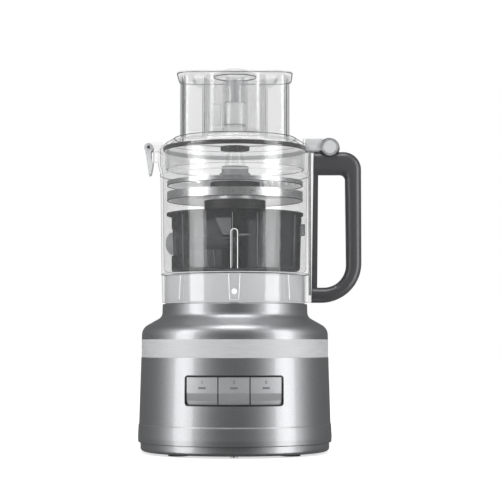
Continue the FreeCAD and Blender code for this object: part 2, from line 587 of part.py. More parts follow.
def make_handle():
    half = d.grip_width * 0.5
    grip = padded("XZ_Plane", [
        (d.channel_high_x, d.channel_top), (d.grip_outer, d.channel_top),
        (d.grip_outer, d.grip_low), (d.channel_low_x, d.grip_low)],
        -half, d.grip_width, [([1], d.grip_top_round), ([2], d.grip_low_round)])
    finger = padded("XZ_Plane", [
        (d.channel_low_x - 20, d.hole_low), (d.hole_right_low, d.hole_low),
        (d.hole_right_high, d.hole_high), (d.channel_low_x - 20, d.hole_high)],
        -d.grip_width, d.grip_width * 2, [([2], d.hole_round), ([1], d.hole_low_round)])
    hook = cut(grip, finger)
    soft = doc.addObject("Part::Fillet", "Soft")
    doc.recompute()
    picked = []
    for i, edge in enumerate(hook.Shape.Edges, start=1):
        around = edge.BoundBox
        on_side = abs(abs(around.YMin) - half.value) < 1e-3 and around.YLength < 1e-3
        by_channel = around.XMax < d.channel_high_x.value + 0.5
        if on_side and not by_channel:
            picked.append((i, d.grip_edge.value, d.grip_edge.value))
    soft.Base = hook
    soft.Edges = picked
    low, high = d.grip_low + d.strap_rise, d.channel_top - d.strap_rise
    lean = (d.channel_high_x - d.channel_low_x) * (
        d.strap_rise.value / (d.channel_top - d.grip_low).value)
    strap = padded("XZ_Plane", [
        (d.channel_low_x + lean, low), (d.hole_left_low, low),
        (d.hole_left_high, high), (d.channel_high_x - lean, high)],
        d.strap_inset - half, d.grip_width - d.strap_inset * 2)
    x, z = d.hinge_x, d.hinge_z
    saddle = cylinder(d.saddle_radius, d.grip_width - 1, x, -d.grip_width * 0.5 + 0.5, z, ALONG_Y)
    seats = [cylinder(d.saddle_clear, 20, x, d.lug_half, z, ALONG_Y),
             cylinder(d.saddle_clear, 20, x, -d.lug_half - 20, z, ALONG_Y),
             cylinder(d.pin_radius, 60, x, -30, z, ALONG_Y)]
    for low, high in ((d.lug_half, 20), (-20, -d.lug_half)):
        seats.append(box(x - 13, x + 13, low, high, z - 1.5, z + 13))
        seats.append(box(x - 13, x, low, high, d.channel_top, z + 13))
    node(cut(fuse(soft, strap, saddle), *seats), "handle_grip")
    caps = []
    for side in (-1, 1):
        low = side * (d.grip_width.value * 0.5 + d.cap_gap.value + d.pin_cap_thick.value / 2)
        for radius, thick in ((d.pin_cap_radius, d.pin_cap_thick), (d.pin_dome_radius, d.pin_dome_thick)):
            caps.append(cylinder(radius, thick, x, thick * -0.5 + low, z, ALONG_Y))
    reach = d.grip_width * 0.5 + d.cap_gap + d.pin_cap_thick
    pin = cylinder(d.pin_radius, reach * 2, x, -reach, z, ALONG_Y)
    node(fuse(pin, *caps), "hinge_pin")


def make_rod():
    rod = cylinder(d.rod_radius, d.rod_top - d.rod_low)
    node(rod, "interlock_rod", d.rod_x, 0, d.rod_low)


# lid


def make_lid():
    wall = d.lid_wall
    skirt_in = d.lid_skirt_radius - d.lid_skirt_wall
    shell = turned([
        (0, d.lid_top_z - wall), (d.lid_top_radius - 1, d.lid_top_z - wall),
        (skirt_in, d.lid_shoulder_z - wall - 0.6), (skirt_in, d.lid_skirt_low),
        (d.lid_skirt_radius, d.lid_skirt_low), (d.lid_skirt_radius, d.gasket_high + 0.2),
        (d.gasket_radius, d.gasket_high + 0.2), (d.gasket_radius + 0.6, d.lid_edge_z),
        (d.lid_edge_radius, d.lid_edge_z), (d.lid_edge_radius, d.lid_edge_top),
        (d.lid_shoulder_radius, d.lid_shoulder_z), (d.lid_top_radius, d.lid_top_z),
        (0, d.lid_top_z)], [(9, 0.8), (10, 5), (11, 4)])
    tube = slab(d.feed_half, -d.feed_front, d.feed_back, d.lid_top_z - 6, d.feed_top -
                d.lid_top_z + 6, d.feed_corner)
    inner = d.feed_corner - d.feed_wall
    hollow = slab(d.feed_half - d.feed_wall, -d.feed_front + d.feed_wall,
                  d.feed_back - d.feed_wall, d.lid_top_z - 20, d.feed_top - d.lid_top_z + 40,
                  inner)
    x, z = d.hinge_x, d.hinge_z
    arm = box(d.arm_start, x, -d.arm_width * 0.5, d.arm_width * 0.5, d.arm_low, d.arm_top)
    barrel = cylinder(d.barrel_radius, d.grip_width - 1.6, x, -d.grip_width * 0.5 + 0.8, z,
                      ALONG_Y)
    fork = cylinder(d.fork_clear, d.fork_half * 2, x, -d.fork_half, z, ALONG_Y)
    bore = cylinder(d.pin_radius + d.running, 60, x, -30, z, ALONG_Y)
    ears = []
    half = d.latch_width * 0.5 + d.ear_gap
    for low in (half, -half - d.ear_thick):
        ears.append(cylinder(d.ear_radius - 1, d.ear_thick, d.latch_x, low, d.latch_z, ALONG_Y))
        ears.append(box(d.latch_x, d.ear_root, low, low + d.ear_thick, d.lid_edge_z + 0.2,
                        d.latch_z + 5))
    pin_hole = cylinder(d.latch_pin_radius, 60, d.latch_x, -30, d.latch_z, ALONG_Y)
    arm_piece = cut(arm, cylinder(d.lid_skirt_radius - 1, 60, z=d.lid_skirt_low),
                    cylinder(d.gasket_radius, d.gasket_high + 0.2 - d.lid_skirt_low,
                             z=d.lid_skirt_low),
                    cylinder(d.rim_radius + 0.6, d.lid_edge_z - d.lid_skirt_low,
                             z=d.lid_skirt_low))
    node(cut(fuse(shell, tube, arm_piece, barrel, *ears), hollow, fork, bore, pin_hole),
         "lid_cover")
    gasket = ring(d.gasket_radius, d.lid_skirt_radius, d.gasket_high - d.gasket_low,
                  z=d.gasket_low)
    node(gasket, "lid_gasket")
    reach = d.latch_width * 0.5 + d.ear_gap + d.ear_thick
    node(cylinder(d.latch_pin_radius, reach * 2), "latch_pin", d.latch_x, -reach, d.latch_z,
         ALONG_Y)


def make_latch():
    half = d.latch_width * 0.5
    eye = cylinder(d.latch_eye, d.latch_width, d.latch_x, -half, d.latch_z, ALONG_Y)
    lever = padded("XZ_Plane", [
        (d.latch_x + 0.6, d.latch_low), (d.latch_x + 2.8, d.latch_low + 1.5),
        (d.catch_nose - 0.6, d.catch_low), (d.catch_nose, d.catch_high),
        (d.latch_x + 3, d.catch_high + 2), (d.latch_x + 2.4, d.latch_z - 3),
        (d.latch_x, d.latch_z), (d.latch_outer + 0.9, d.latch_z),
        (d.latch_outer + 3.2, d.latch_z - 10), (d.latch_outer + 4.4, d.catch_low + 4)],
        -half, d.latch_width)
    bore = cylinder(d.latch_pin_radius + d.running, 60, d.latch_x, -30, d.latch_z, ALONG_Y)
    node(cut(fuse(eye, lever), bore), "lid_latch")


def make_pushers():
    gap = d.feed_wall + d.pusher_gap
    half, front, back = d.feed_half - gap, d.feed_front - gap, d.feed_back - gap
    corner = d.feed_corner - gap
    wall = d.pusher_wall
    top = d.flange_z + d.flange_thick
    outer = slab(half, -front, back, d.pusher_low, top - d.pusher_low, corner)
    inner = slab(half - wall, -front + wall, back - wall, d.pusher_low - 5,
                 top - wall - d.pusher_low + 5, corner - wall)
    out = d.flange_out + gap
    flange = slab(half + out, -front - out, back + out, d.flange_z, d.flange_thick,
                  corner + out)
    sleeve_out = d.medium_wall + d.pusher_gap
    sleeve = slab(d.medium_half + sleeve_out, -d.medium_front - sleeve_out,
                  d.medium_back + sleeve_out, d.pusher_low, top - 0.5 - d.pusher_low,
                  d.medium_corner + sleeve_out)
    bore = slab(d.medium_half + d.pusher_gap, -d.medium_front - d.pusher_gap,
                d.medium_back + d.pusher_gap, d.pusher_low - 10, 120,
                d.medium_corner + d.pusher_gap)
    scoops, hollows = [], []
    for side in (-1, 1):
        x = (d.medium_half + sleeve_out) * side
        scoops.append(cylinder(d.scoop_radius, 34, x, -22, top, ALONG_Y))
        hollows.append(cylinder(d.scoop_radius - 1.8, 30.4, x, -20.2, top, ALONG_Y))
    basins = common(fuse(*scoops), box(-60, 60, -40, 40, top - 20, top))
    shell = cut(fuse(outer, flange), inner)
    node(cut(fuse(shell, sleeve, basins), bore, *hollows), "large_pusher")

    outer = slab(d.medium_half, -d.medium_front, d.medium_back, d.medium_low,
                 d.medium_top - d.medium_low, d.medium_corner)
    wall = d.medium_wall
    inner = slab(d.medium_half - wall, -d.medium_front + wall, d.medium_back - wall,
                 d.medium_low + wall, d.medium_top - d.medium_low, d.medium_corner - wall)
    well = cylinder(d.well_radius + d.well_wall, d.medium_top - d.medium_low - 4, 0, -5,
                    d.medium_low)
    bore = cylinder(d.well_radius, 100, 0, -5, d.medium_low - 5)
    node(cut(fuse(cut(outer, inner), well), bore), "medium_pusher")

    stem = ring(d.small_radius, d.small_radius - d.small_wall, d.cap_low - d.small_low, 0, -5,
                d.small_low)
    node(stem, "small_pusher")
    disc = cylinder(d.cap_radius, d.cap_thick, 0, -5, d.cap_low)
    rise = d.dome_top - d.cap_low - d.cap_thick
    dome = turned([(0, d.cap_low), (d.dome_radius, d.cap_low),
                   (d.dome_radius, d.dome_top), (0, d.dome_top)], [(2, 5.2)])
    at(dome, 0, -5, 0)
    node(fuse(disc, dome), "pusher_cap")
    node(ring(d.sleeve_radius, d.small_radius - d.small_wall, d.small_low - d.sleeve_low, 0, -5,
              d.sleeve_low), "pusher_sleeve")


# storage in the bowl


def make_caddy():
    wall = d.caddy_wall
    bore = d.store_radius + d.store_gap
    caddy = turned([
        (bore, d.caddy_low), (d.caddy_low_radius, d.caddy_low),
        (d.caddy_high_radius, d.caddy_top), (d.caddy_high_radius - wall, d.caddy_top),
        (d.caddy_low_radius - wall, d.caddy_low + wall), (bore, d.caddy_low + wall)], [(1, 4)])
    flat = box(-90, d.caddy_cut_x, -60, 60, d.caddy_low - 1, d.caddy_top + 1)
    notch = box(-90, d.notch_x, -28, 12, d.notch_low, d.notch_high)
    ledge = fuse(
        box(d.caddy_cut_x, d.caddy_cut_x + wall, -24, 24, d.caddy_low, d.notch_low),
        box(d.caddy_cut_x, d.caddy_cut_x + wall, -24, 24, d.notch_high, d.caddy_top))
    dividers = fuse(
        box(d.right_plate_x, d.right_plate_x + d.plate_thick, -80, -16, d.caddy_low,
            d.caddy_top),
        box(d.left_plate_x, d.left_plate_x + d.plate_thick, -80, -18, d.caddy_low,
            d.caddy_low + d.left_plate_height))
    plates = common(dividers, cylinder(d.caddy_low_radius - 1, 80, z=d.caddy_low))
    tab = common(ring(d.tab_radius, d.caddy_low_radius - 1, d.tab_height, z=d.tab_low),
                 box(60, 90, -9, 9, d.tab_low - 1, d.tab_low + d.tab_height + 1))
    node(cut(fuse(caddy, ledge, plates, tab), flat, notch), "caddy_body")
    node(ring(d.caddy_lid_radius, bore, d.caddy_lid_thick, z=d.caddy_top), "caddy_lid")


def make_post():
    """The hollow post that carries the discs over the drive, and the knob that lifts it."""
    low = d.bowl_floor_z + d.bowl_floor + d.store_gap
    node(ring(d.store_radius, d.store_bore, d.store_top - low, z=low), "storage_post")
    skirt = ring(d.collar_radius, d.store_radius, d.store_top - d.collar_low, z=d.collar_low)
    cap = cylinder(d.cap_radius_of_post, d.collar_top - d.store_top, z=d.store_top)
    node(fuse(skirt, cap), "post_collar")
    node(cone(d.stem_low_radius, d.stem_high_radius, d.knob_low - d.collar_top), "post_stem",
         z=d.collar_top)
    knob = cylinder(d.knob_radius, d.knob_top - d.knob_low, z=d.knob_low)
    flutes = []
    for angle in range(0, 360, 15):
        x, y = polar(d.knob_radius + 0.5, angle)
        flutes.append(cylinder(d.flute_radius, 8, x, y, d.knob_low - 1))
    node(cut(knob, *flutes), "post_knob")


def make_shredder():
    plate = d.shred_top - d.disc_thick
    inside = d.disc_radius - d.rim_wall
    holes = [cylinder(d.store_radius, 20, z=plate - 10),
             cylinder(d.window_radius, 20, -48, -10, plate - 10)]
    for row in range(5):
        for step in range(-4, 5):
            x = d.tooth_first + d.tooth_row * row
            y = d.tooth_pitch * (step + 0.5 * (row % 2))
            if math.hypot(x.value, y.value) < d.tooth_reach.value:
                holes.append(cylinder(d.tooth_radius, 10, x, y, plate - 5))
    node(ring(d.disc_radius, inside, d.shred_top - d.shred_low - 0.4, z=d.shred_low),
         "shredder_rim")
    node(cut(cylinder(inside, d.disc_thick, z=plate), *holes), "shredding_disc")
    node(ring(d.shred_hub_radius, d.store_radius + d.store_gap, plate - d.shred_hub_low,
              z=d.shred_hub_low), "shredder_hub")


def make_slicer():
    height = d.slicer_top - d.slicer_low
    hub = ring(d.slicer_hub_radius, d.store_radius, height + d.slicer_hub_rise,
               z=d.slicer_low)
    plate = ring(d.disc_radius, d.store_radius, d.slicer_plate,
                 z=d.slicer_top - d.slicer_plate)
    band = ring(d.disc_radius, d.disc_radius - d.rim_wall, height - d.slicer_plate,
                z=d.slicer_low)
    slot = box(d.slot_low_x, d.slot_high_x, d.slot_low_y, d.slot_high_y, d.slicer_top - 3,
               d.slicer_top + 3)
    node(cut(fuse(hub, plate, band), slot), "slicing_disc")
    node(ring(d.carrier_radius, d.store_radius + d.store_gap, d.slicer_low - d.carrier_low,
              z=d.carrier_low), "disc_carrier")
    node(box(0, d.edge_length, 0, d.edge_width, 0, d.edge_thick), "slicing_blade",
         d.slot_low_x + 4.5, d.slot_low_y + 1, d.slicer_top - 1.2)


def knife_grip():
    """The grip end of the knife's hub, turned about X."""
    end = d.knife_knob_length
    body = doc.addObject("PartDesign::Body", "Knob")
    sketch = sketch_on(body, "XZ_Plane", [
        (0, 0), (0, d.knife_knob - 4), (3.5, d.knife_knob), (end - 5, d.knife_knob),
        (end - 3, d.knife_hub + 0.6), (end, d.knife_hub + 0.6), (end, 0)])
    turn = body.newObject("PartDesign::Revolution", "Turn")
    turn.Profile = sketch
    turn.ReferenceAxis = (sketch, ["H_Axis"])
    turn.Angle = 360
    return body


def make_knife():
    """The chopping knife, lying on its side in the caddy."""
    length = d.knife_length - d.knife_knob_length
    shank = cone(d.knife_hub, d.knife_hub - 2.2, length, d.knife_knob_length, 0, 0, ALONG_X)
    claws = [box(d.knife_length - 9, d.knife_length + 1, -12, 12, low, low + 1.6)
             for low in (-4, 2.4)]
    lean = ((0, 0, 1), -15)
    node(cut(fuse(knife_grip(), shank), *claws), "blade_hub", d.knife_x, d.knife_y, d.knife_z,
         lean)
    lower = padded("XZ_Plane", [(0, 0), (12.5, 1.2), (13.6, 2.6), (0, 2.8)], -0.6, 1.2)
    upper = padded("XZ_Plane", [(-22, 28), (-4, 28), (-4, 9), (-13, 9)], -0.6, 1.2,
                   [([3], 3)])
    at(lower, 4, 0, 7.4)
    node(group([lower, upper]), "chopping_blades", 0, d.blade_y, d.knife_z)


def check_and_export():
    doc.recompute()
    for thing in doc.Objects:
        bad = {"Invalid", "Error"} & set(thing.State)
        if bad:
            raise RuntimeError(f"{thing.Name} {thing.Label}: {thing.State}")
    for thing in nodes:
        shape = thing.Shape
        if shape.isNull() or not shape.isValid():
            raise RuntimeError(f"{thing.Label} has no valid shape")
        if not shape.Solids:
            raise RuntimeError(f"{thing.Label} has no solid")
    os.makedirs("parts", exist_ok=True)
    for thing in nodes:
        thing.Shape.exportStep(f"parts/{thing.Label}.step")
        middle = thing.Shape.BoundBox
        print(f"{thing.Label:18} {len(thing.Shape.Solids)} solid(s) "
              f"x {middle.XMin:.1f}..{middle.XMax:.1f} y {middle.YMin:.1f}..{middle.YMax:.1f} "
              f"z {middle.ZMin:.1f}..{middle.ZMax:.1f} volume {thing.Shape.Volume / 1000:.2f} cm3")


make_pan()
make_housing()
make_panel()
make_buttons()
make_drive()
make_bowl()
make_handle()
make_rod()
make_lid()
make_latch()
make_pushers()
make_caddy()
make_post()
make_shredder()
make_slicer()
make_knife()
check_and_export()
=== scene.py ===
import math
import bpy
import bmesh
from mathutils import Matrix, Vector


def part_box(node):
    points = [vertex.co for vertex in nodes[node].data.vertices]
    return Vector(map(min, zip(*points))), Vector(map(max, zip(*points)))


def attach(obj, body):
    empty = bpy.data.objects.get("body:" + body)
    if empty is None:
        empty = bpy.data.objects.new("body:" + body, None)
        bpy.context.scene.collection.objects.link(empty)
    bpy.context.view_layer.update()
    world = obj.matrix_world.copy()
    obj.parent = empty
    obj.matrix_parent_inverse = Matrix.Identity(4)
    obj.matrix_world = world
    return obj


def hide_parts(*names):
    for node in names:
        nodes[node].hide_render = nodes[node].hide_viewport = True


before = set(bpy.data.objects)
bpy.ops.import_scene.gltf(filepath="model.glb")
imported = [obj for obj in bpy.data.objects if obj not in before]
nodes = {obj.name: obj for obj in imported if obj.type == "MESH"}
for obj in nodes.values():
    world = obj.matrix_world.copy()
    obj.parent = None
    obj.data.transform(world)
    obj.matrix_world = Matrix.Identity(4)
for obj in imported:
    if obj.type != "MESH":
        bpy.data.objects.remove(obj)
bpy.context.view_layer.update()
scene = bpy.context.scene
bandLow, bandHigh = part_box("trim_band")
spindleX = (bandLow.x + bandHigh.x) / 2  # the spindle stands at this x, with y at 0
print("frame loaded:", len(nodes), "nodes")


def colourOf(text, alpha=1.0):  # an sRGB hex value as linear colour
    parts = [int(text[i:i + 2], 16) / 255 for i in (1, 3, 5)]
    return [c / 12.92 if c <= 0.04045 else ((c + 0.055) / 1.055) ** 2.4 for c in parts] + [alpha]


def addNode(tree, kind, links=None, **settings):  # one node with its settings, input values and links
    node = tree.nodes.new(kind)
    for name, value in settings.items():
        setattr(node, name, value)
    for name, value in (links or {}).items():
        socket = node.inputs[name]
        if isinstance(value, bpy.types.NodeSocket):
            tree.links.new(value, socket)
        else:
            socket.default_value = value
    return node


def newMaterial(name):
    material = bpy.data.materials.new(name)
    material.use_nodes = True
    material.node_tree.nodes.clear()
    return material, material.node_tree


def grainOn(tree, sizeMm, stretch=(1, 1, 1), detail=3.0):  # noise whose spots are sizeMm across
    place = addNode(tree, "ShaderNodeTexCoord").outputs["Object"]
    scaled = addNode(tree, "ShaderNodeMapping", {"Vector": place, "Scale": stretch}).outputs["Vector"]
    return addNode(tree, "ShaderNodeTexNoise", {"Vector": scaled, "Scale": 1000 / sizeMm, "Detail": detail}
                   ).outputs["Fac"]


def spread(tree, value, low, high):  # noise mapped to the range between low and high
    return addNode(tree, "ShaderNodeMapRange", {"Value": value, "From Min": 0.3, "From Max": 0.7,
                                                "To Min": low, "To Max": high}).outputs["Result"]


paintedLightFaces = {"down": -0.7, "inward": -0.01}  # a face gets painted light below either of these


def solidFinish(name, look):  # an opaque finish from a dictionary of its values
    material, tree = newMaterial(name)
    grain = grainOn(tree, look["grainMm"], look.get("stretch", (1, 1, 1)))
    ramp = addNode(tree, "ShaderNodeValToRGB", {"Fac": grain})
    ramp.color_ramp.elements[0].position, ramp.color_ramp.elements[1].position = 0.3, 0.7
    ramp.color_ramp.elements[0].color = colourOf(look["dark"])
    ramp.color_ramp.elements[1].color = colourOf(look["light"])
    rough = spread(tree, grain, *look["rough"])
    bump = addNode(tree, "ShaderNodeBump", {"Height": grain, "Strength": look["bump"],
                                            "Distance": look["bumpMm"] / 1000})
    colour, metal = ramp.outputs["Color"], look.get("metal", 0.0)
    if "paintedLightColour" in look:  # painted light: undersides and the inside of a rim are drawn brighter than its outside
        facing = addNode(tree, "ShaderNodeTexCoord")
        height = addNode(tree, "ShaderNodeSeparateXYZ", {"Vector": facing.outputs["Normal"]}).outputs["Z"]
        below = addNode(tree, "ShaderNodeMath", {0: height, 1: paintedLightFaces["down"]},
                        operation="LESS_THAN")
        arm = addNode(tree, "ShaderNodeVectorMath", {0: facing.outputs["Object"], 1: (spindleX, 0, 0)},
                      operation="SUBTRACT")
        outward = addNode(tree, "ShaderNodeVectorMath", {0: arm.outputs["Vector"], 1: (1, 1, 0)},
                          operation="MULTIPLY")
        away = addNode(tree, "ShaderNodeVectorMath", {0: outward.outputs["Vector"],
                                                      1: facing.outputs["Normal"]}, operation="DOT_PRODUCT")
        within = addNode(tree, "ShaderNodeMath", {0: away.outputs["Value"], 1: paintedLightFaces["inward"]},
                         operation="LESS_THAN")
        either = addNode(tree, "ShaderNodeMath", {0: below.outputs["Value"], 1: within.outputs["Value"]},
                         operation="MAXIMUM")
        mixed = addNode(tree, "ShaderNodeMixRGB", {"Fac": either.outputs["Value"], "Color1": colour,
                                                   "Color2": colourOf(look["paintedLightColour"])})
        metals = addNode(tree, "ShaderNodeMapRange", {"Value": either.outputs["Value"], "To Min": metal,
                                                      "To Max": 0.0})
        colour, metal = mixed.outputs["Color"], metals.outputs["Result"]
    if "bareAbove" in look:  # the lacquer stops at this height and the casting above it is left bare
        place = addNode(tree, "ShaderNodeTexCoord").outputs["Object"]
        height = addNode(tree, "ShaderNodeSeparateXYZ", {"Vector": place}).outputs["Z"]
        bare = addNode(tree, "ShaderNodeMath", {0: height, 1: look["bareAbove"]}, operation="GREATER_THAN")
        mixed = addNode(tree, "ShaderNodeMixRGB", {"Fac": bare.outputs["Value"], "Color1": colour,
                                                   "Color2": colourOf(look["bare"])})
        metals = addNode(tree, "ShaderNodeMapRange", {"Value": bare.outputs["Value"], "To Min": metal,
                                                      "To Max": look["bareMetal"]})
        roughs = addNode(tree, "ShaderNodeMapRange", {"Value": bare.outputs["Value"], "To Min": rough,
                                                      "To Max": look["bareRough"]})
        colour, metal, rough = mixed.outputs["Color"], metals.outputs["Result"], roughs.outputs["Result"]
    shader = addNode(tree, "ShaderNodeBsdfPrincipled", {
        "Base Color": colour, "Roughness": rough, "Normal": bump.outputs["Normal"], "Metallic": metal,
        "Coat Weight": look.get("coat", 0.0), "Coat Roughness": look.get("coatRough", 0.1)})
    addNode(tree, "ShaderNodeOutputMaterial", {"Surface": shader.outputs["BSDF"]})
    return material


def clearFinish(name, look):  # clear or smoked plastic: it passes light unbent and mirrors by angle
    material, tree = newMaterial(name)
    facing = addNode(tree, "ShaderNodeLayerWeight", {"Blend": look["edge"]}).outputs["Facing"]
    ramp = addNode(tree, "ShaderNodeValToRGB", {"Fac": facing})
    ramp.color_ramp.elements[0].color = colourOf(look["face"])
    ramp.color_ramp.elements[1].color = colourOf(look["rim"])
    ramp.color_ramp.elements[0].position, ramp.color_ramp.elements[1].position = look["from"], 1.0
    through = addNode(tree, "ShaderNodeBsdfTransparent", {"Color": ramp.outputs["Color"]})
    ripple = grainOn(tree, look["rippleMm"], detail=1.0)
    bump = addNode(tree, "ShaderNodeBump", {"Height": ripple, "Strength": look["bump"],
                                            "Distance": look["bumpMm"] / 1000})
    gloss = addNode(tree, "ShaderNodeBsdfGlossy", {"Color": colourOf("#ffffff"),
                                                   "Roughness": spread(tree, ripple, *look["rough"]),
                                                   "Normal": bump.outputs["Normal"]})
    fresnel = addNode(tree, "ShaderNodeFresnel", {"IOR": look["ior"]}).outputs["Fac"]
    mirror = addNode(tree, "ShaderNodeMapRange", {"Value": fresnel, "From Min": 0.04, "From Max": 1.0,
                                                  "To Min": look["mirror"][0], "To Max": look["mirror"][1]}
                     ).outputs["Result"]
    mixed = addNode(tree, "ShaderNodeMixShader", {"Fac": mirror})
    if "hazeAndGlint" in look:  # scattering in the plastic; on the beads and ribs it is a painted highlight
        scatterAndGlintShader = addNode(tree, "ShaderNodeBsdfDiffuse", {"Color": colourOf(look["hazeAndGlint"]),
                                                        "Normal": bump.outputs["Normal"]})
        throughWithScatterAndGlint = addNode(tree, "ShaderNodeMixShader", {"Fac": look["hazeAndGlintShare"]})
        tree.links.new(through.outputs["BSDF"], throughWithScatterAndGlint.inputs[1])
        tree.links.new(scatterAndGlintShader.outputs["BSDF"], throughWithScatterAndGlint.inputs[2])
        tree.links.new(throughWithScatterAndGlint.outputs["Shader"], mixed.inputs[1])
    else:
        tree.links.new(through.outputs["BSDF"], mixed.inputs[1])
    tree.links.new(gloss.outputs["BSDF"], mixed.inputs[2])
    addNode(tree, "ShaderNodeOutputMaterial", {"Surface": mixed.outputs["Shader"]})
    return material


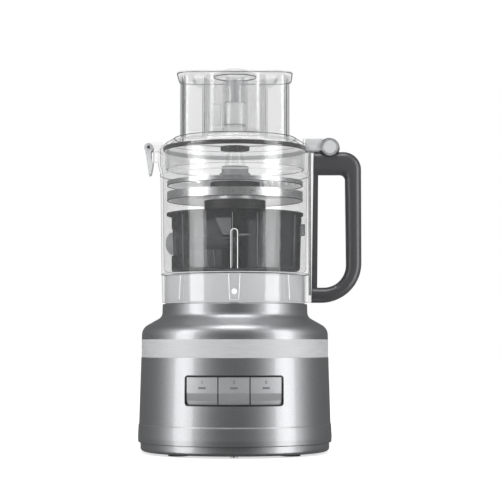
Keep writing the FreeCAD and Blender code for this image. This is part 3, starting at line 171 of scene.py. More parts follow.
# grains of about 1 mm stand for finer ones, which would not show at this size
finishes = {
    # lacquered die-cast shell: metal flake under a clear coat gives broad soft highlights
    "silver_paint": solidFinish("satinSilverPaint", {
        "dark": "#9fa0a2", "light": "#b0b1b3", "rough": (0.44, 0.5), "grainMm": 0.9, "bump": 0.06,
        "bumpMm": 0.02, "metal": 0.95, "coat": 0.6, "coatRough": 0.07, "bareAbove": 0.1665,
        "bare": "#c3c4c5", "bareMetal": 0.2, "bareRough": 0.75}),
    # rolled aluminium band: brushing along its length blurs what it mirrors
    "trim_metal": solidFinish("brushedAluminium", {
        "dark": "#c2c3c4", "light": "#d2d3d4", "rough": (0.62, 0.75), "grainMm": 14,
        "stretch": (1, 1, 30), "bump": 0.2, "bumpMm": 0.02, "metal": 0.6}),
    # ABS with a silver lacquer: duller than the shell, with no sharp glints
    "button_plastic": solidFinish("silverLacqueredAbs", {
        "dark": "#a2a3a5", "light": "#adaeb0", "rough": (0.5, 0.58), "grainMm": 0.9, "bump": 0.05,
        "bumpMm": 0.02, "metal": 0.6, "coat": 0.2, "coatRough": 0.2}),
    # frosted light pipe, unlit: a dull grey window
    "lamp": solidFinish("frostedLightPipe", {
        "dark": "#5c5d5f", "light": "#6a6b6d", "rough": (0.5, 0.6), "grainMm": 0.8, "bump": 0.1,
        "bumpMm": 0.02}),
    # moulded black ABS: its spark-eroded grain keeps it matt
    "dark_plastic": solidFinish("mouldedBlackAbs", {
        "dark": "#262627", "light": "#303031", "rough": (0.45, 0.6), "grainMm": 1.0, "bump": 0.3,
        "bumpMm": 0.05}),
    # soft-touch paint over nylon: dark with a wide soft highlight
    "handle_plastic": solidFinish("softTouchHandle", {
        "dark": "#3a3a3c", "light": "#434345", "rough": (0.36, 0.44), "grainMm": 0.9, "bump": 0.2,
        "bumpMm": 0.03, "coat": 0.35, "coatRough": 0.3}),
    # nitrile rubber: nearly black and without gloss
    "rubber": solidFinish("nitrileRubber", {
        "dark": "#1b1b1b", "light": "#252525", "rough": (0.6, 0.8), "grainMm": 1.0, "bump": 0.3,
        "bumpMm": 0.05}),
    # moulded dark silicone: a little smoother than the feet
    "gasket_rubber": solidFinish("siliconeGasket", {
        "dark": "#2c2c2d", "light": "#363637", "rough": (0.35, 0.5), "grainMm": 1.5, "bump": 0.2,
        "bumpMm": 0.04}),
    # injection-moulded clear copolyester: walls vanish face on and darken edge on
    "clear_plastic": clearFinish("clearCopolyester", {
        "face": "#fefefe", "rim": "#7f8183", "from": 0.88, "edge": 0.5, "rough": (0.03, 0.06),
        "rippleMm": 30, "bump": 0.1, "bumpMm": 0.2, "ior": 1.5, "mirror": (0.019, 0.16),
        "hazeAndGlint": "#cfd0d1", "hazeAndGlintShare": 0.02}),
    # copolyester with a spark-eroded face: it scatters light and looks milky
    "frosted": clearFinish("frostedCopolyester", {
        "face": "#f0f1f1", "rim": "#9a9c9e", "from": 0.4, "edge": 0.5, "rough": (0.2, 0.3),
        "rippleMm": 12, "bump": 0.2, "bumpMm": 0.2, "ior": 1.5, "mirror": (0.06, 0.3),
        "hazeAndGlint": "#cfd0d1", "hazeAndGlintShare": 0.7}),
    # polished rounded edge of the clear wall: its whitish haze is a painted highlight for the soft line of
    # light it gathers
    "bead": clearFinish("beadPaintedHighlight", {
        "face": "#f8f9f9", "rim": "#a4a6a8", "from": 0.5, "edge": 0.5, "rough": (0.05, 0.1),
        "rippleMm": 12, "bump": 0.1, "bumpMm": 0.1, "ior": 1.5, "mirror": (0.06, 0.3),
        "hazeAndGlint": "#e2e3e4", "hazeAndGlintShare": 0.4}),
    # a rib's rounded edge, drawn milky white as a painted highlight for the light that runs inside the wall
    "rib": clearFinish("ribPaintedHighlight", {
        "face": "#f8f9f9", "rim": "#d4d6d8", "from": 0.5, "edge": 0.5, "rough": (0.1, 0.2),
        "rippleMm": 12, "bump": 0.1, "bumpMm": 0.1, "ior": 1.5, "mirror": (0.06, 0.3),
        "hazeAndGlint": "#fafafa", "hazeAndGlintShare": 0.8}),
    # pale moulded silicone: the opaque carrier of the lid's seal
    "carrier": solidFinish("whiteSiliconeCarrier", {
        "dark": "#cfd0d1", "light": "#d9dadb", "rough": (0.4, 0.5), "grainMm": 1.5, "bump": 0.1,
        "bumpMm": 0.03}),
    # a thick edge seen along its length, drawn grey as painted shade for the darker line it shows
    "edge": clearFinish("edgePaintedShade", {
        "face": "#c4c6c8", "rim": "#5c5e60", "from": 0.3, "edge": 0.5, "rough": (0.05, 0.1),
        "rippleMm": 12, "bump": 0.1, "bumpMm": 0.1, "ior": 1.5, "mirror": (0.06, 0.3)}),
    # moulded seam in the smoked wall, drawn solid grey as a painted highlight for the thin line of light it
    # catches
    "seam": solidFinish("seamPaintedHighlight", {
        "dark": "#747576", "light": "#808182", "rough": (0.3, 0.4), "grainMm": 1.5, "bump": 0.1,
        "bumpMm": 0.03}),
    # satin-plated metal: drawn nearly white as a painted reflection, because bare metal comes out dark here
    "satin_painted_reflection": solidFinish("satinNickelPaintedReflection", {
        "dark": "#f2f3f3", "light": "#fafafa", "rough": (0.28, 0.36), "grainMm": 3,
        "stretch": (8, 8, 1), "bump": 0.1, "bumpMm": 0.02, "metal": 0.05}),
    # moulded dark ABS, drawn mid grey as painted light for the dim inside of the caddy, so that it shows
    # through the smoked wall
    "knife_plastic_painted_light": solidFinish("mouldedAbsPaintedLight", {
        "dark": "#86878a", "light": "#959698", "rough": (0.35, 0.45), "grainMm": 1.0, "bump": 0.2,
        "bumpMm": 0.04}),
    # turned stainless steel: it mirrors the room, and its undersides and inner faces are drawn paler as
    # painted light
    "disc_steel": solidFinish("brushedDiscSteel", {
        "dark": "#d0d1d2", "light": "#e2e3e4", "rough": (0.25, 0.4), "grainMm": 4,
        "stretch": (1, 1, 10), "bump": 0.1, "bumpMm": 0.02, "metal": 0.9, "paintedLightColour": "#f6f6f6"}),
    # smoked copolyester: each wall takes light away, so walls in line look nearly black
    "smoke_plastic": clearFinish("smokedCopolyester", {
        "face": "#c4c5c6", "rim": "#5a5b5c", "from": 0.4, "edge": 0.5, "rough": (0.06, 0.12),
        "rippleMm": 20, "bump": 0.1, "bumpMm": 0.2, "ior": 1.5, "mirror": (0.025, 0.3),
        "hazeAndGlint": "#5c5d5e", "hazeAndGlintShare": 0.14}),
    # moulded grey nylon: plain, with a low gloss
    "grey_plastic": solidFinish("greyNylon", {
        "dark": "#8d8e90", "light": "#a1a2a3", "rough": (0.35, 0.5), "grainMm": 1.2, "bump": 0.2,
        "bumpMm": 0.04}),
    # ground stainless steel: fine grinding lines break up what it mirrors
    "blade_steel": solidFinish("groundStainless", {
        "dark": "#bcbdbe", "light": "#d2d3d4", "rough": (0.2, 0.32), "grainMm": 3,
        "stretch": (1, 12, 1), "bump": 0.15, "bumpMm": 0.02, "metal": 1.0}),
    # zinc-plated steel: a soft grey gloss
    "steel": solidFinish("zincPlatedSteel", {
        "dark": "#9b9c9e", "light": "#b5b6b8", "rough": (0.25, 0.4), "grainMm": 2, "bump": 0.15,
        "bumpMm": 0.02, "metal": 1.0}),
    # turned aluminium: fine rings from the lathe
    "pulley_aluminium": solidFinish("turnedAluminium", {
        "dark": "#b3b4b6", "light": "#c8c9cb", "rough": (0.25, 0.4), "grainMm": 2, "stretch": (1, 1, 8),
        "bump": 0.2, "bumpMm": 0.02, "metal": 1.0}),
    # enamelled copper wire: reddish, with the texture of a winding
    "copper": solidFinish("enamelledCopper", {
        "dark": "#8a4d2a", "light": "#b06a3d", "rough": (0.25, 0.4), "grainMm": 1.2,
        "stretch": (1, 1, 6), "bump": 0.4, "bumpMm": 0.1, "metal": 0.9}),
    # glass-epoxy board under green resist: a dull green sheet
    "board": solidFinish("glassEpoxyBoard", {
        "dark": "#1f4a2c", "light": "#2a5a37", "rough": (0.35, 0.5), "grainMm": 1.5, "bump": 0.2,
        "bumpMm": 0.03}),
}

ownFinish = {  # nodes whose finish is not the one that their slot names
    "blade_hub": "knife_plastic_painted_light", "lid_latch": "frosted", "interlock_rod": "frosted",
    "hinge_pin": "frosted", "pusher_sleeve": "satin_painted_reflection",
    "chopping_blades": "satin_painted_reflection", "skirt_screw": "satin_painted_reflection", "shredding_disc": "disc_steel",
    "slicing_disc": "disc_steel", "shredder_rim": "disc_steel"}
for name, thing in nodes.items():
    for slot in thing.material_slots:
        slot.material = finishes[ownFinish.get(name, slot.material.name.split(".")[0])]
for name in ("caddy_body", "caddy_lid", "slicing_disc", "shredding_disc"):
    nodes[name].visible_shadow = False  # not physical: more light reaches the knife in the caddy
print("finishes set on", len(nodes), "nodes")


# making pieces
def keepMesh(thing, name, body):  # the finished plain mesh of an object, riding on its body
    graph = bpy.context.evaluated_depsgraph_get()
    mesh = bpy.data.meshes.new_from_object(thing.evaluated_get(graph))
    materials = [m for m in thing.data.materials if m]
    bpy.data.objects.remove(thing)
    piece = bpy.data.objects.new(name, mesh)
    scene.collection.objects.link(piece)
    if materials and not mesh.materials:
        mesh.materials.append(materials[0])
    mesh.shade_smooth()
    mesh.set_sharp_from_angle(angle=math.radians(35))
    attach(piece, body)
    return piece


def meshThing(name, points, faces, material):
    mesh = bpy.data.meshes.new(name)
    mesh.from_pydata([tuple(p) for p in points], [], faces)
    mesh.update()
    if material:
        mesh.materials.append(material)
    thing = bpy.data.objects.new(name + "Draft", mesh)
    scene.collection.objects.link(thing)
    return thing


def turnedPiece(name, outline, centre, material, body, segments=96):  # a ring or knob turned about Z
    points, faces, count = [], [], len(outline)
    for turn in range(segments):
        angle = 2 * math.pi * turn / segments
        for radius, height in outline:
            points.append(Vector((radius * math.cos(angle), radius * math.sin(angle), height)) + centre)
    for turn in range(segments):
        after = (turn + 1) % segments
        for i in range(count):
            j = (i + 1) % count
            faces.append((turn * count + i, after * count + i, after * count + j, turn * count + j))
    thing = meshThing(name, points, faces, material)
    bpy.context.view_layer.update()
    recalcFaces(thing)
    return keepMesh(thing, name, body)


def recalcFaces(thing):
    work = bmesh.new()
    work.from_mesh(thing.data)
    bmesh.ops.remove_doubles(work, verts=work.verts, dist=1e-7)
    bmesh.ops.recalc_face_normals(work, faces=work.faces)
    work.to_mesh(thing.data)
    work.free()


def circlePoints(x, y, z, radius, segments):  # points round an upright axis
    turns = [2 * math.pi * i / segments for i in range(segments)]
    return [(x + radius * math.cos(turn), y + radius * math.sin(turn), z) for turn in turns]


def tubeAlong(name, points, thick, material, body, closed=False):  # a round bead on the points
    curve = bpy.data.curves.new(name, "CURVE")
    curve.dimensions, curve.bevel_depth, curve.bevel_resolution = "3D", thick / 2, 2
    curve.use_fill_caps = not closed
    spline = curve.splines.new("POLY")
    spline.points.add(len(points) - 1)
    for spot, point in zip(spline.points, points):
        spot.co = (*point, 1)
    spline.use_cyclic_u = closed
    curve.materials.append(material)
    thing = bpy.data.objects.new(name + "Draft", curve)
    scene.collection.objects.link(thing)
    bpy.context.view_layer.update()
    return keepMesh(thing, name, body)


def ringBead(name, radius, height, thick, finish, body, segments=128):
    points = circlePoints(spindleX, 0, height, radius, segments)
    return tubeAlong(name, points, thick, finishes[finish], body, closed=True)


def frontOf(node, x, z, lift=0.0):  # the point of a CAD node's front at this x and z, raised by lift
    place, normal = nodes[node].ray_cast(Vector((x, -0.3, z)), Vector((0, 1, 0)))[1:3]
    return place + normal * lift


def roundedPlate(name, low, high, bevel, material, body):  # a thin plate with rounded edges
    corners = [(x, y, z) for x in (low[0], high[0]) for y in (low[1], high[1]) for z in (low[2], high[2])]
    faces = [(0, 1, 3, 2), (4, 6, 7, 5), (0, 4, 5, 1), (2, 3, 7, 6), (0, 2, 6, 4), (1, 5, 7, 3)]
    thing = meshThing(name, corners, faces, material)
    recalcFaces(thing)
    edges = thing.modifiers.new("edges", "BEVEL")
    edges.width, edges.segments = bevel, 3
    bpy.context.view_layer.update()
    return keepMesh(thing, name, body)


def newTree(name, inputs):  # an empty geometry tree with named inputs
    tree = bpy.data.node_groups.new(name, "GeometryNodeTree")
    tree.interface.new_socket("Geometry", in_out="OUTPUT", socket_type="NodeSocketGeometry")
    tree.interface.new_socket("Geometry", in_out="INPUT", socket_type="NodeSocketGeometry")
    for label, kind in inputs.items():
        tree.interface.new_socket(label, in_out="INPUT", socket_type=kind)
    return tree, addNode(tree, "NodeGroupInput"), addNode(tree, "NodeGroupOutput")


def grow(tree, name, points, values, body):  # a piece that a tree makes at the points
    thing = meshThing(name, points, [], None)
    modifier = thing.modifiers.new("grow", "NODES")
    modifier.node_group = tree
    for item in tree.interface.items_tree:
        if item.in_out == "INPUT" and item.name in values:
            modifier[item.identifier] = values[item.name]
    bpy.context.view_layer.update()
    return keepMesh(thing, name, body)


# cross-head screws
def screwTree():
    kinds = {"Head Radius": "NodeSocketFloat", "Head Height": "NodeSocketFloat",
             "Recess Length": "NodeSocketFloat", "Recess Width": "NodeSocketFloat",
             "Turn": "NodeSocketVector", "Finish": "NodeSocketMaterial"}
    tree, given, result = newTree("crossHeadScrews", kinds)
    head = addNode(tree, "GeometryNodeMeshCone", {
        "Vertices": 24, "Radius Top": given.outputs["Recess Length"],
        "Radius Bottom": given.outputs["Head Radius"], "Depth": given.outputs["Head Height"]})
    cutters = addNode(tree, "GeometryNodeJoinGeometry")
    for across in (True, False):
        ends = {"X": given.outputs["Recess Length" if across else "Recess Width"],
                "Y": given.outputs["Recess Width" if across else "Recess Length"],
                "Z": given.outputs["Head Height"]}
        size = addNode(tree, "ShaderNodeCombineXYZ", ends)
        bar = addNode(tree, "GeometryNodeMeshCube", {"Size": size.outputs["Vector"]})
        lifted = addNode(tree, "ShaderNodeCombineXYZ", {"Z": given.outputs["Head Height"]})
        moved = addNode(tree, "GeometryNodeTransform", {"Geometry": bar.outputs["Mesh"],
                                                        "Translation": lifted.outputs["Vector"]})
        tree.links.new(moved.outputs["Geometry"], cutters.inputs["Geometry"])
    cross = addNode(tree, "GeometryNodeMeshBoolean", operation="DIFFERENCE")
    tree.links.new(head.outputs["Mesh"], cross.inputs["Mesh 1"])
    tree.links.new(cutters.outputs["Geometry"], cross.inputs["Mesh 2"])
    placed = addNode(tree, "GeometryNodeInstanceOnPoints", {"Points": given.outputs["Geometry"],
                                                            "Instance": cross.outputs["Mesh"],
                                                            "Rotation": given.outputs["Turn"]})
    real = addNode(tree, "GeometryNodeRealizeInstances", {"Geometry": placed.outputs["Instances"]})
    painted = addNode(tree, "GeometryNodeSetMaterial", {"Geometry": real.outputs["Geometry"],
                                                        "Material": given.outputs["Finish"]})
    tree.links.new(painted.outputs["Geometry"], result.inputs["Geometry"])
    return tree


screws = {"radius": 0.0027, "height": 0.0011, "recess": 0.0034, "recessWidth": 0.0008, "lift": 0.0001}
low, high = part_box("skirt_screw")
skirtSpot = Vector(((low.x + high.x) / 2, low.y - screws["lift"], (low.z + high.z) / 2))
grow(screwTree(), "skirtScrewHead", [skirtSpot],
     {"Head Radius": screws["radius"], "Head Height": screws["height"],
      "Recess Length": screws["recess"] / 2, "Recess Width": screws["recessWidth"],
      "Turn": (math.radians(90), 0, 0), "Finish": finishes["satin_painted_reflection"]}, "bowl")
print("screws made")


# edges of the clear mouldings as rounded beads, drawn with painted highlights and painted dark lines
beads = {"lidLine": 0.0009, "bowlFlare": 0.0011, "bowlFloor": 0.0014, "plateauRadius": 0.0688,
         "plateauRise": 0.0100, "shoulderRadius": 0.0778, "shoulderRise": 0.0046, "skirtRadius": 0.0775,
         "skirtRise": 0.0004, "flareRadius": 0.0846, "flareHeight": 0.3115, "floorRadius": 0.0829,
         "floorHeight": 0.1995, "lift": 0.0002}
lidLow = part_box("lid_cover")[0]
gasketLow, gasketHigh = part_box("lid_gasket")
for name, radius, height, thick, finish, body in (
        ("lidPlateauBead", beads["plateauRadius"], gasketHigh.z + beads["plateauRise"], beads["lidLine"],
         "edge", "lid"),
        ("lidShoulderBead", beads["shoulderRadius"], gasketHigh.z + beads["shoulderRise"], beads["lidLine"],
         "bead", "lid"),
        ("lidSkirtBead", beads["skirtRadius"], lidLow.z + beads["skirtRise"], beads["lidLine"],
         "bead", "lid"),
        ("bowlFlareBead", beads["flareRadius"], beads["flareHeight"], beads["bowlFlare"], "bead", "bowl"),
        ("bowlFloorBead", beads["floorRadius"], beads["floorHeight"], beads["bowlFloor"], "bead", "bowl")):
    ringBead(name, radius, height, thick, finish, body)


def lineOnBowl(name, corners, thick):  # a bright line laid on the bowl's front: a painted highlight on a moulded edge
    points = [frontOf("bowl", spindleX + x, z, beads["lift"]) for x, z in corners]
    return tubeAlong(name, points, thick, finishes["rib"], "bowl")


frontTab = {"topHalf": 0.0062, "lowHalf": 0.0049, "top": 0.1975, "low": 0.1690, "corner": 0.0012,
            "line": 0.0007}
half, low, corner = frontTab["lowHalf"], frontTab["low"], frontTab["corner"]
lineOnBowl("frontTabEdge", [(-frontTab["topHalf"], frontTab["top"]), (-half, low + corner),
                            (-half + corner, low), (half - corner, low), (half, low + corner),
                            (frontTab["topHalf"], frontTab["top"])], frontTab["line"])

frontRib = {"half": 0.0036, "low": 0.2030, "high": 0.2425, "steps": 10, "arch": 0.9, "line": 0.0008}
half = frontRib["half"]
line = [(-half, frontRib["low"])]
for step in range(frontRib["steps"] + 1):
    angle = math.pi - math.pi * step / frontRib["steps"]
    line.append((half * math.cos(angle), frontRib["high"] + half * math.sin(angle) * frontRib["arch"]))
line.append((half, frontRib["low"]))
lineOnBowl("frontRibEdge", line, frontRib["line"])

skirtBead = {"line": 0.0009, "spots": [(0.0588, 0.1968), (0.0596, 0.1835), (0.0602, 0.1700)]}
for side, name in ((-1, "left"), (1, "right")):
    lineOnBowl(f"skirtBead_{name}", [(side * x, z) for x, z in skirtBead["spots"]], skirtBead["line"])
print("clear edges made")


# the lid's seal: dark lip outside, white carrier inside
seal = {"lip": 0.0009, "carrier": 0.0016, "outer": 0.0813, "inner": 0.0787, "groove": 0.0003,
        "grooveLow": 0.0006, "grooveMiddle": 0.0018, "grooveHigh": 0.0030}
outer, inner = seal["outer"], seal["inner"]
centre = Vector((spindleX, 0, 0))
low, high = gasketLow.z, gasketHigh.z
lip = turnedPiece("gasketLip", [
    (outer - seal["lip"], low), (outer, low + seal["grooveLow"]),
    (outer - seal["groove"], low + seal["grooveMiddle"]), (outer, low + seal["grooveHigh"]),
    (outer, high), (outer - seal["lip"], high)], centre, finishes["gasket_rubber"], "lid")
turnedPiece("gasketCarrier", [
    (inner, low), (inner + seal["carrier"], low), (inner + seal["carrier"], high), (inner, high)], centre,
    finishes["carrier"], "lid")
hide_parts("lid_gasket")
print("seal made")


# pushers
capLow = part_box("pusher_cap")[0]
stemLow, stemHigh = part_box("small_pusher")
stemMiddle = Vector(((stemLow.x + stemHigh.x) / 2, (stemLow.y + stemHigh.y) / 2, 0))
capSeal = {"radius": 0.0238, "thick": 0.0012, "below": 0.0007, "segments": 96}
tubeAlong("capSealRing", circlePoints(stemMiddle.x, stemMiddle.y, capLow.z - capSeal["below"],
                                      capSeal["radius"], capSeal["segments"]),
          capSeal["thick"], finishes["gasket_rubber"], "small_pusher", closed=True)

fins = {"count": 4, "thick": 0.0010, "reach": 0.0088, "low": 0.0003, "high": 0.0260, "line": 0.0007}
profile = [(0.0006, 0.0), (0.0046, 0.0), (0.0042, 0.4), (0.0052, 0.75), (fins["reach"], 1.0), (0.0006, 1.0)]
flare = [(0.0078, 0.0), (0.0074, 0.4), (0.0080, 0.75), (fins["reach"], 0.98)]  # reach and share of height
points, faces, count = [], [], len(profile)
for turn in range(fins["count"]):
    angle = 2 * math.pi * turn / fins["count"]
    out = Vector((math.cos(angle), math.sin(angle), 0))
    aside = Vector((-math.sin(angle), math.cos(angle), 0))
    first = len(points)
    for reach, height in profile:
        spot = stemMiddle + out * reach + Vector((0, 0, stemLow.z + fins["low"] + height * fins["high"]))
        points += [spot - aside * fins["thick"] / 2, spot + aside * fins["thick"] / 2]
    for i in range(count):
        j = (i + 1) % count
        faces.append((first + 2 * i, first + 2 * j, first + 2 * j + 1, first + 2 * i + 1))
    faces.append(tuple(first + 2 * i for i in range(count)))
    faces.append(tuple(first + 2 * i + 1 for i in reversed(range(count))))
finThing = meshThing("stemFins", points, faces, finishes["bead"])
recalcFaces(finThing)
keepMesh(finThing, "stemFins", "small_pusher")
for number, (across, along) in enumerate(((1, 0), (-1, 0), (0, 1), (0, -1)), start=1):
    spots = [stemMiddle + Vector((across * reach, along * reach, stemLow.z + fins["low"]
                                  + height * fins["high"])) for reach, height in flare]
    tubeAlong(f"stemLine_{number}", spots, fins["line"], finishes["edge"], "small_pusher")

plate = {"left": -0.0260, "right": -0.0164, "low": 0.3672, "high": 0.3912, "y": -0.0150, "thick": 0.0012,
         "bevel": 0.0005, "line": 0.0006}
front, back = plate["y"] - plate["thick"] / 2, plate["y"] + plate["thick"] / 2
left, right = spindleX + plate["left"], spindleX + plate["right"]
roundedPlate("sleeveIndexPlate", (left, front, plate["low"]), (right, back, plate["high"]), plate["bevel"],
             finishes["satin_painted_reflection"], "medium_pusher")
tubeAlong("indexPlateEdge", [(left, front, plate["low"]), (right, front, plate["low"]),
                             (right, front, plate["high"]), (left, front, plate["high"])], plate["line"],
          finishes["steel"], "medium_pusher", closed=True)
print("pushers finished")


# thin lines on the disc rims and the hinge cap
details = {"discLine": 0.0010, "discRadius": 0.0764, "discDrop": 0.0001, "thinLine": 0.0007, "segments": 64,
           "capOuter": 0.0097, "capInner": 0.0080, "capStep": 0.0006, "sleeveInset": 0.0004}
for name, node in (("slicerRimLine", "slicing_disc"), ("shredderRimLine", "shredder_rim")):
    ringBead(name, details["discRadius"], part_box(node)[0].z - details["discDrop"], details["discLine"],
             "dark_plastic", "bowl")

pinLow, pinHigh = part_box("hinge_pin")
pinX, pinZ = (pinLow.x + pinHigh.x) / 2, (pinLow.z + pinHigh.z) / 2
for name, radius, y in (("Outer", details["capOuter"], pinLow.y + details["capStep"]),
                        ("Inner", details["capInner"], pinLow.y)):
    flat = circlePoints(pinX, pinZ, y, radius, details["segments"])  # the next line stands it upright
    tubeAlong("hingeCap" + name, [(x, depth, z) for x, z, depth in flat], details["thinLine"],
              finishes["edge"], "bowl", closed=True)

# frosted cheeks of the lid's hinge arm
arm = {"left": 0.0800, "right": 0.0990, "low": 0.3392, "high": 0.3524, "half": 0.0122, "sheet": 0.0006,
       "bevelShare": 0.4}
for side, name in ((-1, "front"), (1, "back")):
    y = side * arm["half"]
    roundedPlate(f"hingeArmSheet_{name}", (spindleX + arm["left"], y - arm["sheet"] / 2, arm["low"]),
                 (spindleX + arm["right"], y + arm["sheet"] / 2, arm["high"]),
                 arm["sheet"] * arm["bevelShare"], finishes["frosted"], "lid")

# rings at the sleeve's two ends
sleeveLow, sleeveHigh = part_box("pusher_sleeve")
for name, z in (("Top", sleeveHigh.z - details["sleeveInset"]),
                ("Low", sleeveLow.z + details["sleeveInset"])):
    ring = circlePoints(stemMiddle.x, stemMiddle.y, z, (sleeveHigh.x - sleeveLow.x) / 2, details["segments"])
    tubeAlong("sleeveRing" + name, ring, details["thinLine"], finishes["steel"], "small_pusher",
              closed=True)


# seams of the caddy, from its foot up to its rim or to the low partition
caddy = {"lowRadius": 0.0737, "highRadius": 0.0755, "middleRadius": 0.0745, "low": 0.2060, "rim": 0.264,
         "partition": 0.222, "line": 0.0007}
for number, (x, top) in enumerate(((-0.057, "rim"), (-0.022, "partition"), (-0.002, "rim"), (0.025, "rim"),
                                   (0.066, "rim")), start=1):
    ends = ((caddy["lowRadius"], caddy["low"]), (caddy["highRadius"], caddy[top]))
    spots = [(spindleX + x * r / caddy["middleRadius"], -math.sqrt(r * r - x * x), z) for r, z in ends]
    tubeAlong(f"caddySeam_{number}", spots, caddy["line"], finishes["seam"], "bowl")


# edge of the large pusher's flange, a rounded rectangle
flange = {"corner": 0.016, "steps": 8, "below": 0.0022, "line": 0.0011}
pusherLow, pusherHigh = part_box("large_pusher")
corner, outX = flange["corner"], (pusherHigh.x - pusherLow.x) / 2
outline = []
for middleX, middleY, start in (
        (outX - corner, pusherHigh.y - corner, 0), (corner - outX, pusherHigh.y - corner, 90),
        (corner - outX, pusherLow.y + corner, 180), (outX - corner, pusherLow.y + corner, 270)):
    for step in range(flange["steps"] + 1):
        angle = math.radians(start + step * 90 / flange["steps"])
        outline.append((spindleX + middleX + corner * math.cos(angle), middleY + corner * math.sin(angle),
                        pusherHigh.z - flange["below"]))
tubeAlong("flangeEdge", outline, flange["line"], finishes["edge"], "large_pusher",
          closed=True)
print("outlines made")


# grating teeth
def toothTree():
    kinds = {"Tooth Radius": "NodeSocketFloat", "Tooth Height": "NodeSocketFloat",
             "Tip Radius": "NodeSocketFloat", "Finish": "NodeSocketMaterial"}
    tree, given, result = newTree("gratingTeeth", kinds)
    tooth = addNode(tree, "GeometryNodeMeshCone", {"Vertices": 4, "Radius Top": given.outputs["Tip Radius"],
                                                   "Radius Bottom": given.outputs["Tooth Radius"],
                                                   "Depth": given.outputs["Tooth Height"]})
    spun = addNode(tree, "GeometryNodeInstanceOnPoints", {"Points": given.outputs["Geometry"],
                                                          "Instance": tooth.outputs["Mesh"],
                                                          "Rotation": (math.pi, 0, 0)})
    real = addNode(tree, "GeometryNodeRealizeInstances", {"Geometry": spun.outputs["Instances"]})
    painted = addNode(tree, "GeometryNodeSetMaterial", {"Geometry": real.outputs["Geometry"],
                                                        "Material": given.outputs["Finish"]})
    tree.links.new(painted.outputs["Geometry"], result.inputs["Geometry"])
    return tree


teeth = {"rows": 5, "rowPitch": 0.008, "pitch": 0.009, "first": 0.030, "across": 4, "reach": 0.068,
         "radius": 0.0026, "height": 0.0030, "tip": 0.0003, "beside": 0.0036}
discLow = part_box("shredding_disc")[0]
spots = []
for row in range(teeth["rows"]):
    for step in range(-teeth["across"], teeth["across"] + 1):
        x = teeth["first"] + teeth["rowPitch"] * row
        y = teeth["pitch"] * (step + (0.5 if row % 2 else 0))
        if math.hypot(x, y) < teeth["reach"]:
            spots.append((spindleX + x + teeth["beside"], y, discLow.z))
grow(toothTree(), "gratingTeeth", spots,
     {"Tooth Radius": teeth["radius"], "Tooth Height": teeth["height"], "Tip Radius": teeth["tip"],
      "Finish": finishes["satin_painted_reflection"]}, "bowl")
print("teeth made")


# numbers on the buttons
marks = {"size": 0.0050, "raise": 0.0001, "thick": 0.00015, "aboveLamp": 0.0058}
for button, sign in (("left", "1"), ("middle", "2"), ("right", "0")):
    low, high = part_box(f"lamp_{button}")
    x, z = (low.x + high.x) / 2, (low.z + high.z) / 2 + marks["aboveLamp"]
    text = bpy.data.curves.new("mark", "FONT")
    text.body, text.size, text.extrude = sign, marks["size"], marks["thick"]
    text.align_x = text.align_y = "CENTER"
    text.materials.append(finishes["lamp"])
    draft = bpy.data.objects.new("markDraft", text)
    scene.collection.objects.link(draft)
    bpy.context.view_layer.update()
    mesh = bpy.data.meshes.new_from_object(draft.evaluated_get(bpy.context.evaluated_depsgraph_get()))
    bpy.data.objects.remove(draft)
    place = frontOf(f"button_{button}", x, z, marks["raise"])
    angle = math.atan2(x - spindleX, -place.y)
    upright = Matrix.Rotation(math.radians(90), 4, "X")
    mesh.transform(Matrix.Translation(place) @ Matrix.Rotation(angle, 4, "Z") @ upright)
    piece = bpy.data.objects.new(f"buttonMark_{button}", mesh)
    scene.collection.objects.link(piece)
    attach(piece, f"button_{button}")
print("marks made")


# floor, lights and camera
studio = {"stripAt": 1.25, "stripTurn": 61, "stripWide": 0.56, "stripTall": 1.7, "stripPower": 15,
          "stripHeight": 0.35, "topPower": 12, "topPlace": (spindleX, -0.45, 1.5),
          "topAim": (spindleX, 0, 0.2), "topWide": 0.9, "topDeep": 0.6,
          "front": 0.055, "back": 0.13, "from": -0.6, "to": 0.8,  # the room that the object mirrors
          "glowFrom": 0.18, "glowTo": 0.7, "glowNear": 0.66, "glowFar": 1.0,  # the paper, by distance
          "paper": "#f4f4f4", "paperRough": (0.8, 0.95), "paperGrainMm": 40,
          "floorSize": 14, "floorDrop": 0.0005, "lens": 116, "cameraPlace": (0.0, -1.82, 0.1234),
          "cameraAim": (0, 0, 0.2274)}

world = bpy.data.worlds.new("studioRoom")
scene.world = world
world.use_nodes = True
world.node_tree.nodes.clear()
tree = world.node_tree
look = addNode(tree, "ShaderNodeTexCoord").outputs["Generated"]
split = addNode(tree, "ShaderNodeSeparateXYZ", {"Vector": look})
depth = addNode(tree, "ShaderNodeMapRange", {
    "Value": split.outputs["Y"], "From Min": studio["from"], "From Max": studio["to"],
    "To Min": studio["front"], "To Max": studio["back"]})
path = addNode(tree, "ShaderNodeLightPath")
seen = addNode(tree, "ShaderNodeMath", {0: path.outputs["Is Camera Ray"],
                                        1: path.outputs["Is Transmission Ray"]}, operation="MAXIMUM")
room = addNode(tree, "ShaderNodeBackground", {"Color": colourOf("#ffffff"),
                                              "Strength": depth.outputs["Result"]})
paper = addNode(tree, "ShaderNodeBackground", {"Color": colourOf("#ffffff"), "Strength": 1.0})
both = addNode(tree, "ShaderNodeMixShader", {"Fac": seen.outputs["Value"]})
tree.links.new(room.outputs["Background"], both.inputs[1])
tree.links.new(paper.outputs["Background"], both.inputs[2])
addNode(tree, "ShaderNodeOutputWorld", {"Surface": both.outputs["Shader"]})


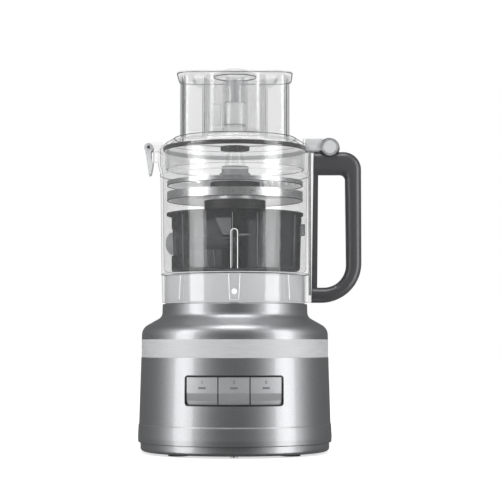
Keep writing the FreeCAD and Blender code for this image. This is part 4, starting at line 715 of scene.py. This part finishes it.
def addSoftbox(name, place, aim, wide, tall, power):
    light = bpy.data.lights.new(name, "AREA")
    light.shape, light.size, light.size_y, light.energy = "RECTANGLE", wide, tall, power
    thing = bpy.data.objects.new(name, light)
    scene.collection.objects.link(thing)
    thing.location = place
    thing.rotation_euler = (Vector(aim) - Vector(place)).to_track_quat("-Z", "Y").to_euler()


for side in (-1, 1):
    angle = math.radians(studio["stripTurn"]) * side
    place = (spindleX + studio["stripAt"] * math.sin(angle), -studio["stripAt"] * math.cos(angle),
             studio["stripHeight"])
    addSoftbox(f"strip{side}", place, (spindleX, 0, studio["stripHeight"]), studio["stripWide"],
               studio["stripTall"], studio["stripPower"])
addSoftbox("overhead", studio["topPlace"], studio["topAim"], studio["topWide"], studio["topDeep"],
           studio["topPower"])

floorMaterial, tree = newMaterial("whitePaperSweep")
paperGrain = grainOn(tree, studio["paperGrainMm"])
floorPlace = addNode(tree, "ShaderNodeTexCoord").outputs["Object"]
fromObject = addNode(tree, "ShaderNodeVectorMath", {0: floorPlace}, operation="LENGTH")
paperGlow = addNode(tree, "ShaderNodeMapRange", {
    "Value": fromObject.outputs["Value"], "From Min": studio["glowFrom"], "From Max": studio["glowTo"],
    "To Min": studio["glowNear"], "To Max": studio["glowFar"]})
paperLook = addNode(tree, "ShaderNodeBsdfPrincipled", {
    "Base Color": colourOf(studio["paper"]), "Roughness": spread(tree, paperGrain, *studio["paperRough"]),
    "Emission Color": colourOf("#ffffff"), "Emission Strength": paperGlow.outputs["Result"]})
addNode(tree, "ShaderNodeOutputMaterial", {"Surface": paperLook.outputs["BSDF"]})
bpy.ops.mesh.primitive_plane_add(size=studio["floorSize"], location=(0, 0, -studio["floorDrop"]))
floor = bpy.context.object
floor.name = "paperFloor"
floor.data.materials.append(floorMaterial)
floor.visible_glossy = False

camera = bpy.data.cameras.new("camera")
camera.lens, camera.sensor_width = studio["lens"], 36
cameraThing = bpy.data.objects.new("camera", camera)
scene.collection.objects.link(cameraThing)
cameraThing.location = studio["cameraPlace"]
lookAlong = Vector(studio["cameraAim"]) - cameraThing.location
cameraThing.rotation_euler = lookAlong.to_track_quat("-Z", "Y").to_euler()
scene.camera = cameraThing
scene.view_settings.view_transform = "Standard"
scene.cycles.transparent_max_bounces = 64

print("studio set")
